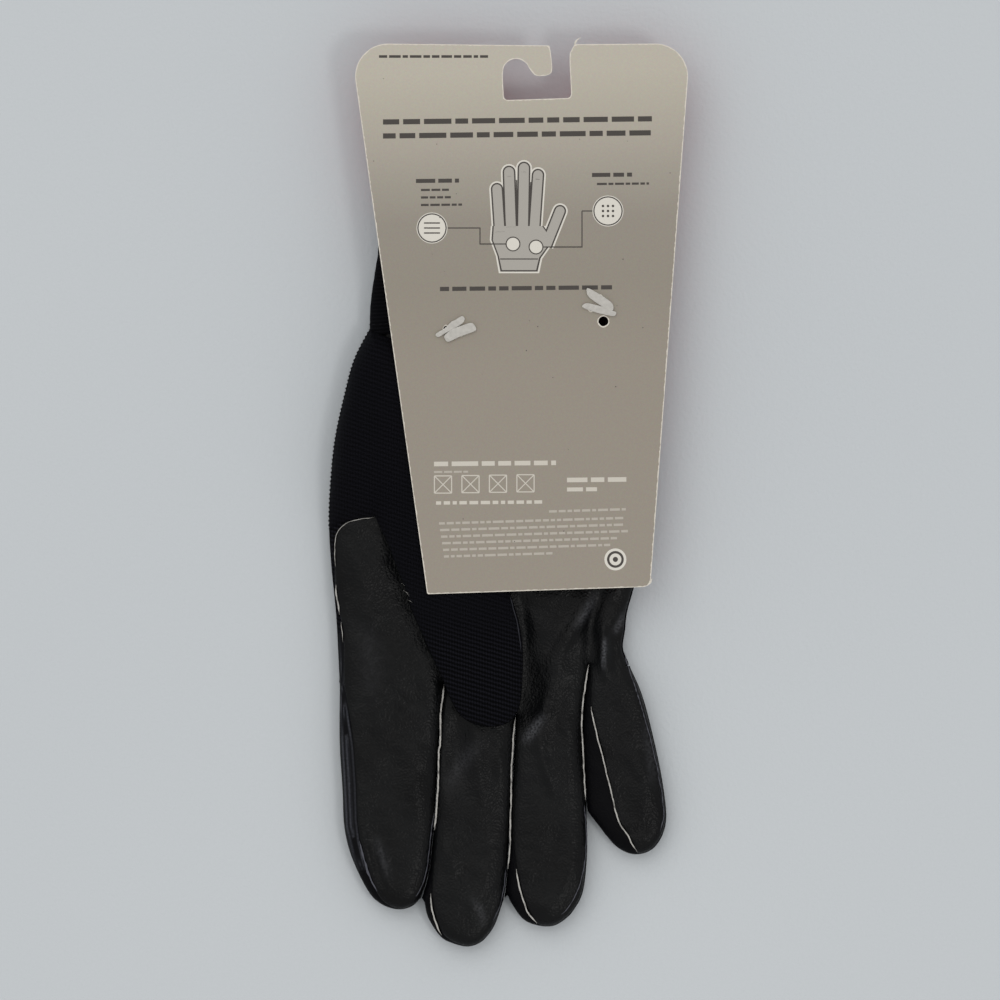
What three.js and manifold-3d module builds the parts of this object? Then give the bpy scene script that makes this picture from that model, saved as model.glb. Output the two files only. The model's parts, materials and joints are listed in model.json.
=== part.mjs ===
// A batting glove for a right hand, lying on its back with the palm up and its thumb folded
// over the palm. A cardboard hang card lies over the wrist, held by four nylon tag pins.
//
// Millimetres. X runs across the palm from the index finger to the little finger, Y from the
// fingertips to the wrist, and Z up from the table. The origin is under the middle of the palm.
//
// The glove is sewn from flat panels: leather on the palm side, ribbed knit on the back, and a
// gusset along each edge. Every finger stall is a flattened tube that those panels share, so
// the leather, the gussets and the knit are bands of one oval section, a seam gap apart.

import * as THREE from "three";
import { mergeVertices } from "three/addons/utils/BufferGeometryUtils.js";
import Module from "manifold-3d";

const wasm = await Module();
wasm.setup();

// Sheet goods
const leather = 0.9;
const knit = 0.8;
const elastic = 1.1;
const padCloth = 0.6;
const seamGap = 0.3;
const overrun = 5;
const weldDistance = 1e-4;

// Levels, stacked up from the table
const patchThickness = 0.8;
const glovePlane = patchThickness + seamGap;
const gloveHeight = 8.4;
const palmTop = glovePlane + gloveHeight;
const thumbHeight = 6.9;
const thumbPlane = palmTop + seamGap;
const thumbTop = thumbPlane + thumbHeight;
const cardThickness = 0.8;
const cardPlane = thumbTop + seamGap;
const cardTop = cardPlane + cardThickness;

// Hand, from the wrist seam to the knuckle line. The wrist seam rises towards the little
// finger. The edges run down from the seam as shares of the palm's length, and out from the
// palm's middle as shares of its width.
const wristY = 53.3;
const wristRise = 5;
const palmLength = 119.3;
const palmWidth = 100;
const palmMiddleX = -7;
const sideWall = 1;
const sideInset = 0.4;
const sideEndShare = 0.975;
const panelRim = 0.3;
const indexEdgeShares = [
  [0, 0.371],
  [0.081, 0.42],
  [0.175, 0.451],
  [0.302, 0.483],
  [0.435, 0.498],
  [0.536, 0.501],
  [0.635, 0.494],
  [0.775, 0.478],
];
const littleEdgeShares = [
  [0, 0.4],
  [0.111, 0.45],
  [0.279, 0.5],
  [0.489, 0.52],
  [0.64, 0.505],
  [0.739, 0.473],
  [0.826, 0.449],
  [0.898, 0.439],
  [0.935, 0.456],
];

// Fingers, in order across the palm. A finger's knuckle line is where it bends on the palm, and
// its share is how far down the palm's length that lies. The lean is in degrees from straight
// down, positive towards the little finger. Lengths and widths are shares of the middle
// finger's. The bow moves the tip sideways, and the round share is how much of the length the
// fingertip takes.
const fingerLength = 67.6;
const fingerWidth = 23.4;
const firstKnuckleShare = 0.306;
const stallGap = 0.5;
const fingerShares = [
  {
    name: "index",
    knuckleShare: 1,
    lean: -1,
    bowShare: 0.17,
    lengthShare: 0.985,
    knuckleWidthShare: 1.385,
    tipWidthShare: 1.154,
    roundShare: 0.45,
  },
  {
    name: "middle",
    knuckleShare: 1.092,
    lean: -3.4,
    bowShare: 0.025,
    lengthShare: 1,
    knuckleWidthShare: 1,
    tipWidthShare: 1.017,
    roundShare: 0.28,
  },
  {
    name: "ring",
    knuckleShare: 1.05,
    lean: 0,
    bowShare: 0.017,
    lengthShare: 0.975,
    knuckleWidthShare: 0.897,
    tipWidthShare: 0.979,
    roundShare: 0.4,
  },
  {
    name: "little",
    knuckleShare: 0.958,
    lean: 7.5,
    bowShare: 0,
    lengthShare: 0.805,
    knuckleWidthShare: 0.752,
    tipWidthShare: 1.111,
    roundShare: 0.36,
  },
];
const fingers = fingerShares.map((finger) => ({
  ...finger,
  knuckleY: wristY - finger.knuckleShare * palmLength,
  bow: finger.bowShare * fingerWidth,
  length: finger.lengthShare * fingerLength,
  knuckleWidth: finger.knuckleWidthShare * fingerWidth,
  tipWidth: finger.tipWidthShare * fingerWidth,
}));
const capShare = 0.24;
const tipEndShare = 0.14;
const tipHeightShare = 0.45;
const roundPower = 2.2;
const ovalPower = 4;
const topShare = 0.82;
const bowPower = 4;
const closePower = 8;
const capEasePower = 1.6;

// Thumb, folded over the palm about a line along the index side, from the wrist seam down to
// the crotch. Its two edges are shares of its reach, measured square to the fold line, and of
// the fold line's length, measured along it from the crotch.
const crotchShare = 0.6;
const foldGap = 0.6;
const thumbReach = 74;
const thumbRoundShare = 0.2;
const thumbBendShare = 0.7;
const crotchEdgeShares = [
  [0.05, 0],
  [0.228, 0.035],
  [0.332, -0.085],
  [0.462, -0.31],
  [0.677, -0.668],
  [0.773, -0.973],
];
const wristEdgeShares = [
  [0.046, 0.985],
  [0.347, 0.9],
  [0.608, 0.47],
  [0.807, 0.008],
  [0.999, -0.463],
  [1.081, -0.765],
];

// Cuff: two elastic bands, with a binding folded over their raw edge at the mouth
const cuffLength = 38.6;
const cuffWidth = 75.2;
const cuffMiddleX = -4.2;
const cuffPuff = 1.8;
const bindingLength = 6;
const bindingWall = 0.5;
const bindingGap = 0.3;

// Wrist closure, on the back of the cuff: a tab sewn down near the little-finger side, with a
// hook pad that closes on a loop pad
const tabLength = 44;
const tabWidth = 24;
const tabThickness = 0.9;
const tabEndRadius = 10.8;
const tabInset = 0.6;
const tabFromMouth = 9;
const hookLength = 26;
const hookWidth = 17;
const hookFromEnd = 5;
const loopSpare = 4;
const padCorner = 3;

// Bare patch on the back of the hand, wider towards the index finger
const patchLength = 62;
const patchNearWidth = 33;
const patchFarWidth = 48;
const patchCorner = 11;
const patchFromWrist = 26;
const patchInset = 4;

// Heel wedge, let into the palm leather at the wrist seam
const wedgeWidth = 46;
const wedgeHeight = 33;
const wedgeMiddleX = -7;

// Hang card, a keystone outline whose top edge is trimmed a little lower on one side. Places on
// it are measured from its middle line and up from its bottom edge.
const cardBottomWidth = 71.6;
const cardTopWidth = 108.8;
const cardHeight = 176.9;
const cardTopDrop = 3.6;
const cardTopCorner = 10.5;
const cardBottomCorner = 2.4;
const cardSharpCorner = 0.3;
const cardTurn = 1.9;
const cardX = 9.9;
const cardBottomY = -30.4;

// Hang slot, a hook open to the card's top edge, measured from its lower left corner
const slotX = -5.9;
const slotY = 157.2;
const slotWidth = 21.6;
const slotBar = 5.9;
const slotMouth = 6;
const slotMouthFlare = 1.5;
const slotLobeWidth = 9;
const slotLobeHeight = 11.6;
const slotLobeRadius = 4;
const slotCorner = 1.2;

// A torn punch hole, and the nylon tag pins. A pin's filament goes through the card and the cuff
// near the wrist seam: its up share is of the cuff's length, from the seam, and its out share is
// of the cuff's half width there. Its turn is the angle of its head on the card, and its slide
// share is how far along the head its filament stands.
const punchX = 23.6;
const punchY = 85.4;
const punchRadius = 1.6;
const pinShares = [
  { outShare: -0.365, upShare: -0.039, turn: 29, slideShare: 0.15 },
  { outShare: -0.25, upShare: -0.093, turn: 17, slideShare: 0 },
  { outShare: 0.905, upShare: 0.155, turn: -29, slideShare: 0 },
  { outShare: 0.839, upShare: 0.056, turn: -14, slideShare: 0.24 },
];
const headLength = 10.4;
const headWidth = 2.4;
const headThickness = 0.8;
const headCorner = 0.7;
const headGap = 0.1;
const filament = 0.9;
const crossbarLength = 8;
const crossbarWidth = 1.2;
const pinSlack = 1.9;
const pinHole = 1.7;

// Colours and finishes
const finishes = {
  leather: { color: 0x1d1e1f, roughness: 0.55, metalness: 0 },
  knit: { color: 0x0f1015, roughness: 0.9, metalness: 0 },
  elastic: { color: 0x101114, roughness: 0.85, metalness: 0 },
  patch: { color: 0x17181a, roughness: 0.45, metalness: 0 },
  hookLoop: { color: 0x141416, roughness: 0.95, metalness: 0 },
  card: { color: 0xa39c8e, roughness: 0.8, metalness: 0 },
  nylon: { color: 0xc5c3bf, roughness: 0.35, metalness: 0 },
};

const glove = new THREE.Group();

function addMesh(name, geometry, finish, parent = glove) {
  const mesh = new THREE.Mesh(geometry, new THREE.MeshStandardMaterial(finishes[finish]));
  mesh.name = name;
  parent.add(mesh);
}

const { PI } = Math;
const radians = THREE.MathUtils.degToRad;
const mix = THREE.MathUtils.lerp;
const turned = (angle) => new THREE.Vector2(Math.cos(angle), Math.sin(angle));
const steps = (from, to, count) => {
  return Array.from({ length: count + 1 }, (_, i) => mix(from, to, i / count));
};

// A sewn panel. face(s, t, depth) is a point on it, for each station s along the panel and t
// from 0 to 1 across it, at a depth under its outer face.
function panel(face, stations, across, thickness) {
  const row = across + 1;
  const positions = [];
  for (const depth of [0, thickness]) {
    for (const s of stations) {
      for (const t of steps(0, 1, across)) positions.push(...face(s, t, depth).toArray());
    }
  }
  const last = stations.length - 1;
  const inside = row * stations.length;
  const at = (i, j) => i * row + j;
  const index = [];
  const quad = (a, b, c, d) => index.push(a, b, c, a, c, d);
  for (let i = 0; i < last; i++) {
    for (let j = 0; j < across; j++) {
      const [a, b, c, d] = [at(i, j), at(i, j + 1), at(i + 1, j + 1), at(i + 1, j)];
      quad(a, b, c, d);
      quad(inside + a, inside + d, inside + c, inside + b);
    }
    quad(at(i, 0), at(i + 1, 0), inside + at(i + 1, 0), inside + at(i, 0));
    quad(at(i + 1, across), at(i, across), inside + at(i, across), inside + at(i + 1, across));
  }
  for (let j = 0; j < across; j++) {
    quad(at(0, j + 1), at(0, j), inside + at(0, j), inside + at(0, j + 1));
    quad(at(last, j), at(last, j + 1), inside + at(last, j + 1), inside + at(last, j));
  }
  const geometry = new THREE.BufferGeometry();
  geometry.setAttribute("position", new THREE.Float32BufferAttribute(positions, 3));
  geometry.setIndex(index);
  return facedOutwards(geometry);
}

// Flat-shaded triangles that point out of their solid
function facedOutwards(geometry) {
  const faced = geometry.index ? geometry.toNonIndexed() : geometry;
  const points = faced.getAttribute("position");
  const [a, b, c] = [new THREE.Vector3(), new THREE.Vector3(), new THREE.Vector3()];
  let volume = 0;
  for (let i = 0; i < points.count; i += 3) {
    a.fromBufferAttribute(points, i);
    b.fromBufferAttribute(points, i + 1);
    c.fromBufferAttribute(points, i + 2);
    volume += a.dot(b.cross(c));
  }
  if (volume < 0) {
    for (let i = 0; i < points.count; i += 3) {
      b.fromBufferAttribute(points, i + 1);
      c.fromBufferAttribute(points, i + 2);
      points.setXYZ(i + 1, ...c.toArray());
      points.setXYZ(i + 2, ...b.toArray());
    }
  }
  faced.computeVertexNormals();
  return faced;
}

// A flat panel of one outline, from a level upwards, with its edges rounded by a rim
function plate(outline, low, thickness, rim = 0, curveSegments = 4) {
  const geometry = new THREE.ExtrudeGeometry(outline, {
    depth: thickness - 2 * rim,
    bevelEnabled: rim > 0,
    bevelThickness: rim,
    bevelSize: rim,
    bevelOffset: -rim,
    bevelSegments: 1,
    curveSegments,
  });
  return geometry.translate(0, 0, low + rim);
}

// A closed outline through corners, each an x, a y and a radius that rounds it
function outlineOf(corners) {
  const outline = new THREE.Shape();
  corners.forEach(([x, y, radius], i) => {
    const corner = new THREE.Vector2(x, y);
    const before = corners.at(i - 1);
    const after = corners[(i + 1) % corners.length];
    const back = new THREE.Vector2(before[0], before[1]).sub(corner).normalize();
    const on = new THREE.Vector2(after[0], after[1]).sub(corner).normalize();
    const half = Math.acos(THREE.MathUtils.clamp(back.dot(on), -1, 1)) / 2;
    if (!radius) {
      if (i === 0) outline.moveTo(x, y);
      else outline.lineTo(x, y);
      return;
    }
    const run = radius / Math.tan(half);
    const start = corner.clone().addScaledVector(back, run);
    const end = corner.clone().addScaledVector(on, run);
    const middle = back.clone().add(on).normalize().multiplyScalar(radius / Math.sin(half));
    middle.add(corner);
    const from = start.clone().sub(middle).angle();
    const to = end.clone().sub(middle).angle();
    const clockwise = back.cross(on) > 0;
    if (i === 0) outline.moveTo(start.x, start.y);
    outline.absarc(middle.x, middle.y, radius, from, to, clockwise);
  });
  outline.closePath();
  return outline;
}

const sharp = ([x, y]) => [x, y, 0];

// Solids for cutting and joining
function solidOf(geometry) {
  const bare = geometry.clone();
  bare.deleteAttribute("normal");
  bare.deleteAttribute("uv");
  const merged = mergeVertices(bare, weldDistance);
  return new wasm.Manifold(
    new wasm.Mesh({
      numProp: 3,
      vertProperties: new Float32Array(merged.getAttribute("position").array),
      triVerts: new Uint32Array(merged.getIndex().array),
    }),
  );
}

function geometryOf(solid) {
  const mesh = solid.getMesh();
  const geometry = new THREE.BufferGeometry();
  geometry.setAttribute("position", new THREE.BufferAttribute(mesh.vertProperties, 3));
  geometry.setIndex(new THREE.BufferAttribute(mesh.triVerts, 1));
  return facedOutwards(geometry);
}

function cut(geometry, tools) {
  let solid = solidOf(geometry);
  for (const tool of tools) solid = solid.subtract(solidOf(tool));
  return geometryOf(solid);
}

function join(geometries) {
  let solid = solidOf(geometries[0]);
  for (const other of geometries.slice(1)) solid = solid.add(solidOf(other));
  return geometryOf(solid);
}

// A point on the oval section of a tube, with half width a and half height b
function ovalPoint(a, b, angle) {
  const cos = Math.cos(angle);
  const sin = Math.sin(angle);
  const power = 2 / ovalPower;
  const x = a * Math.sign(cos) * Math.abs(cos) ** power;
  const z = b * Math.sign(sin) * Math.abs(sin) ** power;
  return [x, z];
}

// The share of the full section that is left at s, where a tube's tip rounds off
function tipShare(s, roundShare) {
  const past = (s - (1 - roundShare)) / roundShare;
  if (!(past > 0)) return 1;
  return Math.max((1 - Math.min(past, 1) ** roundPower) ** (1 / roundPower), tipEndShare);
}

// A point on a tube's wall. The tube's row at s has a middle, a side direction, a half width
// and the direction in which the tube runs on.
function tubePoint(tube, s, angle, depth) {
  const { middle, side, half, on } = tube.row(s);
  const left = tipShare(s, tube.roundShare);
  const halfHeight = (tube.height / 2) * Math.max(left, tipHeightShare);
  const [across, up] = ovalPoint(half * left - depth, halfHeight - depth, angle);
  const x = middle.x + across * side.x - depth * s ** closePower * on.x;
  const y = middle.y + across * side.y - depth * s ** closePower * on.y;
  return new THREE.Vector3(x, y, tube.plane + halfHeight + up);
}

// The angle at which the oval reaches the seams between its top, its sides and its bottom
const seamAngle = Math.acos(topShare ** (ovalPower / 2));
const bands = {
  top: [seamAngle, PI - seamAngle],
  left: [PI - seamAngle, PI + seamAngle],
  bottom: [PI + seamAngle, 2 * PI - seamAngle],
  right: [-seamAngle, seamAngle],
  underTop: [PI - seamAngle, 2 * PI + seamAngle],
  upperHalf: [0, PI],
  lowerHalf: [PI, 2 * PI],
};

// One band of a tube's wall, a seam gap clear of the next
function tubeBand(tube, band, stations, across, thickness) {
  const gap = seamGap / tube.row(0).half;
  const [from, to] = bands[band];
  const face = (s, t, depth) => tubePoint(tube, s, mix(from + gap, to - gap, t), depth);
  return panel(face, stations, across, thickness);
}

// Finger stalls, each moved along X until it lies clear of the one before it
function stallOf(finger, knuckleX) {
  const side = turned(radians(finger.lean));
  const on = turned(radians(finger.lean - 90));
  const knuckle = new THREE.Vector2(knuckleX, finger.knuckleY);
  const row = (s) => ({
    middle: knuckle
      .clone()
      .addScaledVector(on, s * finger.length)
      .addScaledVector(side, finger.bow * s ** bowPower),
    side,
    half: mix(finger.knuckleWidth, finger.tipWidth, Math.max(s, 0)) / 2,
    on,
  });
  const corner = (way, down) => {
    const reach = (way * finger.knuckleWidth) / 2;
    return knuckle.clone().addScaledVector(side, reach).addScaledVector(on, down).toArray();
  };
  return { ...finger, knuckleX, plane: glovePlane, height: gloveHeight, row, corner };
}

function edgeSamples(stall, way) {
  return steps(-capShare, 1, 60).map((s) => {
    const { middle, side, half } = stall.row(s);
    return middle.addScaledVector(side, way * half * tipShare(s, stall.roundShare));
  });
}

function edgeAt(samples, y) {
  const i = samples.findIndex((point) => point.y < y);
  if (i < 1) return null;
  const [a, b] = [samples[i - 1], samples[i]];
  return mix(a.x, b.x, (a.y - y) / (a.y - b.y));
}

function clearOf(before, finger) {
  const stall = stallOf(finger, 0);
  const [near, far] = [edgeSamples(before, 1), edgeSamples(stall, -1)];
  const startY = Math.max(before.knuckleY, finger.knuckleY);
  const endY = Math.max(near.at(-1).y, far.at(-1).y);
  let knuckleX = -Infinity;
  for (const y of steps(startY, endY, 60)) {
    const [right, left] = [edgeAt(near, y), edgeAt(far, y)];
    if (right !== null && left !== null) knuckleX = Math.max(knuckleX, right - left + stallGap);
  }
  // Two raised fingers whose knuckles are about level stand side by side
  if (Math.abs(before.knuckleY - finger.knuckleY) < gloveHeight + stallGap) {
    const widest = (one) => Math.max(one.knuckleWidth, one.tipWidth) / 2;
    knuckleX = Math.max(knuckleX, before.knuckleX + widest(before) + widest(finger) + stallGap);
  }
  return stallOf(finger, knuckleX);
}

const stalls = [stallOf(fingers[0], palmMiddleX - firstKnuckleShare * palmWidth)];
for (const finger of fingers.slice(1)) stalls.push(clearOf(stalls.at(-1), finger));

for (const stall of stalls) {
  const gap = seamGap / stall.length;
  const capStart = 1 - capShare;
  const shaft = steps(gap, capStart - gap, 5);
  const cap = steps(0, 1, 8).map((t) => mix(capStart, 1, 1 - (1 - t) ** capEasePower));
  const name = (piece) => `${stall.name}_${piece}`;
  addMesh(name("palm_leather"), tubeBand(stall, "top", [...shaft, ...cap], 6, leather), "leather");
  addMesh(name("back_knit"), tubeBand(stall, "bottom", shaft, 4, knit), "knit");
  addMesh(name("inner_gusset"), tubeBand(stall, "left", shaft, 4, knit), "leather");
  addMesh(name("outer_gusset"), tubeBand(stall, "right", shaft, 4, knit), "leather");
  addMesh(name("tip_cap"), tubeBand(stall, "underTop", cap, 12, leather), "leather");
}

// Edges of the hand, each running into the outer corner of the knuckle line
function handEdge(shares, side, topY, corner) {
  const points = shares.map(([down, out]) => [
    palmMiddleX + side * out * palmWidth,
    topY - down * palmLength,
  ]);
  return new THREE.CatmullRomCurve3(
    [...points, corner].map(([x, y]) => new THREE.Vector3(x, y, 0)),
  );
}

const indexEdge = handEdge(indexEdgeShares, -1, wristY, stalls[0].corner(-1, -seamGap));
const littleEdge = handEdge(
  littleEdgeShares,
  1,
  wristY + wristRise,
  stalls.at(-1).corner(1, -seamGap),
);

// Points down an edge of the hand, moved in towards the palm
function edgePoints(edge, inset, from = 0, to = 1, count = 16) {
  return steps(from, to, count).map((s) => {
    const point = edge.getPoint(s);
    const slope = edge.getTangent(s);
    const inwards = point.x < palmMiddleX ? 1 : -1;
    return [point.x - inwards * slope.y * inset, point.y + inwards * slope.x * inset];
  });
}

// The knuckle line, stepped where one finger's knuckle lies lower than its neighbour's
function knuckleLine() {
  const corners = [];
  stalls.forEach((stall, i) => {
    const next = stalls[i + 1];
    if (i > 0) corners.push(stall.corner(-1, -seamGap));
    if (!next) return;
    corners.push(stall.corner(1, -seamGap));
    const drop = stall.knuckleY - next.knuckleY;
    if (drop > 0) corners.push(next.corner(-1, -seamGap - drop));
    else corners.push(stall.corner(1, -seamGap + drop));
  });
  return corners;
}

const handOutline = outlineOf(
  [...edgePoints(indexEdge, 0), ...knuckleLine(), ...edgePoints(littleEdge, 0).reverse()].map(
    sharp,
  ),
);

// A wall along an edge of the hand, between the palm leather and the back
function sideWallOf(edge) {
  const outer = edgePoints(edge, sideInset, 0, sideEndShare);
  const inner = edgePoints(edge, sideInset + sideWall, 0, sideEndShare).reverse();
  const low = glovePlane + knit + seamGap;
  return plate(outlineOf([...outer, ...inner].map(sharp)), low, palmTop - leather - seamGap - low);
}

// A level of the wrist seam across the hand
function wristSeam(x) {
  const [left, right] = [indexEdge.getPoint(0), littleEdge.getPoint(0)];
  return mix(left.y, right.y, (x - left.x) / (right.x - left.x));
}

function wedgeOutline(inset) {
  const [left, right] = [wedgeMiddleX - wedgeWidth / 2, wedgeMiddleX + wedgeWidth / 2];
  const low = wristSeam(wedgeMiddleX) - wedgeHeight;
  return outlineOf(
    [
      [left + inset, wristSeam(left) - inset / 2],
      [wedgeMiddleX, low + inset],
      [right - inset, wristSeam(right) - inset / 2],
    ].map(sharp),
  );
}

// Places on the hang card, turned with it into the glove's frame
const cardPlace = new THREE.Matrix4()
  .makeTranslation(cardX, cardBottomY, 0)
  .multiply(new THREE.Matrix4().makeRotationZ(radians(cardTurn)));
const onCard = (x, y, z) => new THREE.Vector3(x, y, z).applyMatrix4(cardPlace);

function rod(radius, from, to, sides = 10) {
  const geometry = new THREE.CylinderGeometry(radius, radius, from.distanceTo(to), sides);
  const way = to.clone().sub(from).normalize();
  const turn = new THREE.Quaternion().setFromUnitVectors(new THREE.Vector3(0, 1, 0), way);
  const middle = from.clone().add(to).multiplyScalar(0.5);
  return geometry.applyQuaternion(turn).translate(...middle.toArray());
}

// The cuff's frame, from the wrist seam at 0 to its mouth at 1
const cuffPlane = tabThickness + 2 * padCloth + 3 * seamGap;
const cuffHeight = palmTop + cuffPuff - cuffPlane;
const cuffMouthY = wristY + cuffLength;
const cuff = {
  plane: cuffPlane,
  height: cuffHeight,
  roundShare: 0,
  row(s) {
    const mouth = (way) => new THREE.Vector3(cuffMiddleX + (way * cuffWidth) / 2, cuffMouthY, 0);
    const low = indexEdge.getPoint(0).lerp(mouth(-1), s);
    const high = littleEdge.getPoint(0).lerp(mouth(1), s);
    const middle = low.clone().add(high).multiplyScalar(0.5);
    const side = high.clone().sub(low).normalize();
    return { middle, side, half: low.distanceTo(high) / 2, on: new THREE.Vector3(0, 0, 0) };
  },
};

// Pins, placed through the cuff and measured on the card
const toCard = cardPlace.clone().invert();
const pins = pinShares.map(({ outShare, upShare, turn, slideShare }) => {
  const { middle, side, half } = cuff.row(upShare);
  const place = middle.addScaledVector(side, outShare * half).applyMatrix4(toCard);
  return { x: place.x, y: place.y, turn, slide: slideShare * headLength };
});
const crossbarTop = palmTop - leather - pinSlack;
const pinHoles = pins.map(({ x, y }) => {
  const low = crossbarTop - crossbarWidth;
  return rod(pinHole / 2, onCard(x, y, low), onCard(x, y, cardTop + overrun));
});

// Hand panels
const palmPlane = palmTop - leather;
addMesh(
  "palm_leather",
  cut(plate(handOutline, palmPlane, leather, panelRim), [
    plate(wedgeOutline(-seamGap / 2), palmPlane - overrun, leather + 2 * overrun),
    ...pinHoles,
  ]),
  "leather",
);
addMesh("heel_wedge", cut(plate(wedgeOutline(seamGap), palmPlane, leather), pinHoles), "leather");
addMesh("back_knit", plate(handOutline, glovePlane, knit, panelRim / 2), "knit");
addMesh("index_side_panel", sideWallOf(indexEdge), "knit");
addMesh("little_side_panel", sideWallOf(littleEdge), "knit");

// Bare patch on the back of the hand
const patchRightX = palmMiddleX + littleEdgeShares[3][1] * palmWidth - patchInset;
const patchHighY = wristY - patchFromWrist;
addMesh(
  "back_patch",
  plate(
    outlineOf([
      [patchRightX - patchLength, patchHighY, patchCorner],
      [patchRightX - patchLength, patchHighY - patchFarWidth, patchCorner],
      [patchRightX, patchHighY - patchNearWidth, patchInset],
      [patchRightX, patchHighY, patchInset],
    ]),
    0,
    patchThickness,
  ),
  "patch",
);

// Thumb, on a frame square to its fold line. The fold line clears the hand's bulging edge.
const foldTop = indexEdge.getPoint(0);
const crotch = indexEdge.getPoint(crotchShare);
const along = foldTop.clone().sub(crotch).normalize();
const inwards = new THREE.Vector3(along.y, -along.x, 0);
const foldLength = foldTop.distanceTo(crotch);
const bulge = Math.max(
  ...steps(0, crotchShare, 20).map((s) => crotch.clone().sub(indexEdge.getPoint(s)).dot(inwards)),
);
const foldStart = crotch.clone().addScaledVector(inwards, -bulge - foldGap);

function thumbEdge(shares) {
  return new THREE.CatmullRomCurve3(
    shares.map(([reach, rise]) =>
      foldStart
        .clone()
        .addScaledVector(inwards, reach * thumbReach)
        .addScaledVector(along, rise * foldLength),
    ),
  );
}

const crotchEdge = thumbEdge(crotchEdgeShares);
const wristEdge = thumbEdge(wristEdgeShares);

const thumb = {
  plane: thumbPlane,
  height: thumbHeight,
  roundShare: thumbRoundShare,
  row(s) {
    const [low, high] = [crotchEdge.getPoint(s), wristEdge.getPoint(s)];
    const middle = low.clone().add(high).multiplyScalar(0.5);
    const side = high.clone().sub(low).normalize();
    const on = new THREE.Vector3(side.y, -side.x, 0);
    return { middle, side, half: low.distanceTo(high) / 2, on };
  },
};

const thumbGap = seamGap / 2 / thumbReach;
const thumbBase = steps(0, thumbBendShare - thumbGap, 7);
const thumbTip = steps(0, 1, 9).map((t) => {
  return mix(thumbBendShare + thumbGap, 1, 1 - (1 - t) ** capEasePower);
});
for (const [section, stations] of [
  ["base", thumbBase],
  ["tip", thumbTip],
]) {
  const name = (piece) => `thumb_${section}_${piece}`;
  addMesh(name("knit"), tubeBand(thumb, "top", stations, 6, knit), "knit");
  addMesh(name("leather"), tubeBand(thumb, "bottom", stations, 6, leather), "leather");
  addMesh(name("crotch_gusset"), tubeBand(thumb, "left", stations, 4, knit), "knit");
  addMesh(name("wrist_gusset"), tubeBand(thumb, "right", stations, 4, knit), "leather");
}

// Cuff
const cuffStations = steps(seamGap / cuffLength, 1, 4);
addMesh(
  "cuff_palm_band",
  cut(tubeBand(cuff, "upperHalf", cuffStations, 14, elastic), pinHoles),
  "elastic",
);
addMesh("cuff_back_band", tubeBand(cuff, "lowerHalf", cuffStations, 14, elastic), "elastic");

// An oval as deep as asked inside or outside the cuff, extruded along Y
function cuffOval(spread, from, to) {
  const points = steps(0, 2 * PI, 36).slice(0, -1);
  const outline = outlineOf(
    points
      .map((angle) => ovalPoint(cuffWidth / 2 + spread, cuffHeight / 2 + spread, angle))
      .map(sharp),
  );
  return plate(outline, 0, to - from)
    .rotateX(PI / 2)
    .translate(cuffMiddleX, to, cuffPlane + cuffHeight / 2);
}

const bindingEnd = cuffMouthY + bindingGap + bindingWall;
const bindingStart = bindingEnd - bindingLength;
const foldOuter = bindingGap + bindingWall;
const foldInner = -elastic - bindingGap - bindingWall;
addMesh(
  "cuff_binding",
  cut(cuffOval(foldOuter, bindingStart, bindingEnd), [
    cuffOval(foldInner, bindingStart - overrun, bindingEnd + overrun),
    cut(cuffOval(bindingGap, bindingStart - overrun, cuffMouthY + bindingGap), [
      cuffOval(-elastic - bindingGap, bindingStart - 2 * overrun, bindingEnd + overrun),
    ]),
  ]),
  "elastic",
);

// Wrist closure
const tabRightX = cuffMiddleX + cuffWidth / 2 - tabInset;
const tabMiddleY = cuffMouthY - tabFromMouth - tabWidth / 2;
const tabLeftX = tabRightX - tabLength;
const tabTop = tabThickness + seamGap;

function pad(length, width, low, leftX) {
  const [x, y] = [leftX, tabMiddleY - width / 2];
  const outline = outlineOf([
    [x, y, padCorner],
    [x + length, y, padCorner],
    [x + length, y + width, padCorner],
    [x, y + width, padCorner],
  ]);
  return plate(outline, low, padCloth, 0, 2);
}

addMesh(
  "closure_tab",
  plate(
    outlineOf([
      [tabLeftX, tabMiddleY + tabWidth / 2, tabEndRadius],
      [tabLeftX, tabMiddleY - tabWidth / 2, tabEndRadius],
      [tabRightX, tabMiddleY - tabWidth / 2, 0],
      [tabRightX, tabMiddleY + tabWidth / 2, 0],
    ]),
    0,
    tabThickness,
  ),
  "patch",
);
addMesh("hook_pad", pad(hookLength, hookWidth, tabTop, tabLeftX + hookFromEnd), "hookLoop");
addMesh(
  "loop_pad",
  pad(
    hookLength + 2 * loopSpare,
    hookWidth + loopSpare,
    tabTop + padCloth + seamGap,
    tabLeftX + hookFromEnd - loopSpare,
  ),
  "hookLoop",
);

// Hang card
function cardOutline() {
  const [low, high] = [cardBottomWidth / 2, cardTopWidth / 2];
  const [slotRight, slotTop] = [slotX + slotWidth, slotY + slotLobeHeight];
  const mouthLeft = slotRight - slotMouth;
  const edgeAtX = (x) => cardHeight - (cardTopDrop * (x + high)) / cardTopWidth;
  const mouthRight = slotRight + slotMouthFlare;
  const lobeRight = slotX + slotLobeWidth;
  return outlineOf([
    [-low, 0, cardSharpCorner],
    [low, 0, cardBottomCorner],
    [high, edgeAtX(high), cardTopCorner],
    [mouthRight, edgeAtX(mouthRight), slotCorner],
    [slotRight, slotY, slotCorner],
    [slotX, slotY, slotCorner],
    [slotX, slotTop, slotLobeRadius],
    [lobeRight, slotTop, slotLobeRadius],
    [lobeRight, slotY + slotBar, slotCorner],
    [mouthLeft, slotY + slotBar, slotCorner],
    [mouthLeft, edgeAtX(mouthLeft), slotCorner],
    [-high, edgeAtX(-high), cardTopCorner],
  ]);
}

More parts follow.
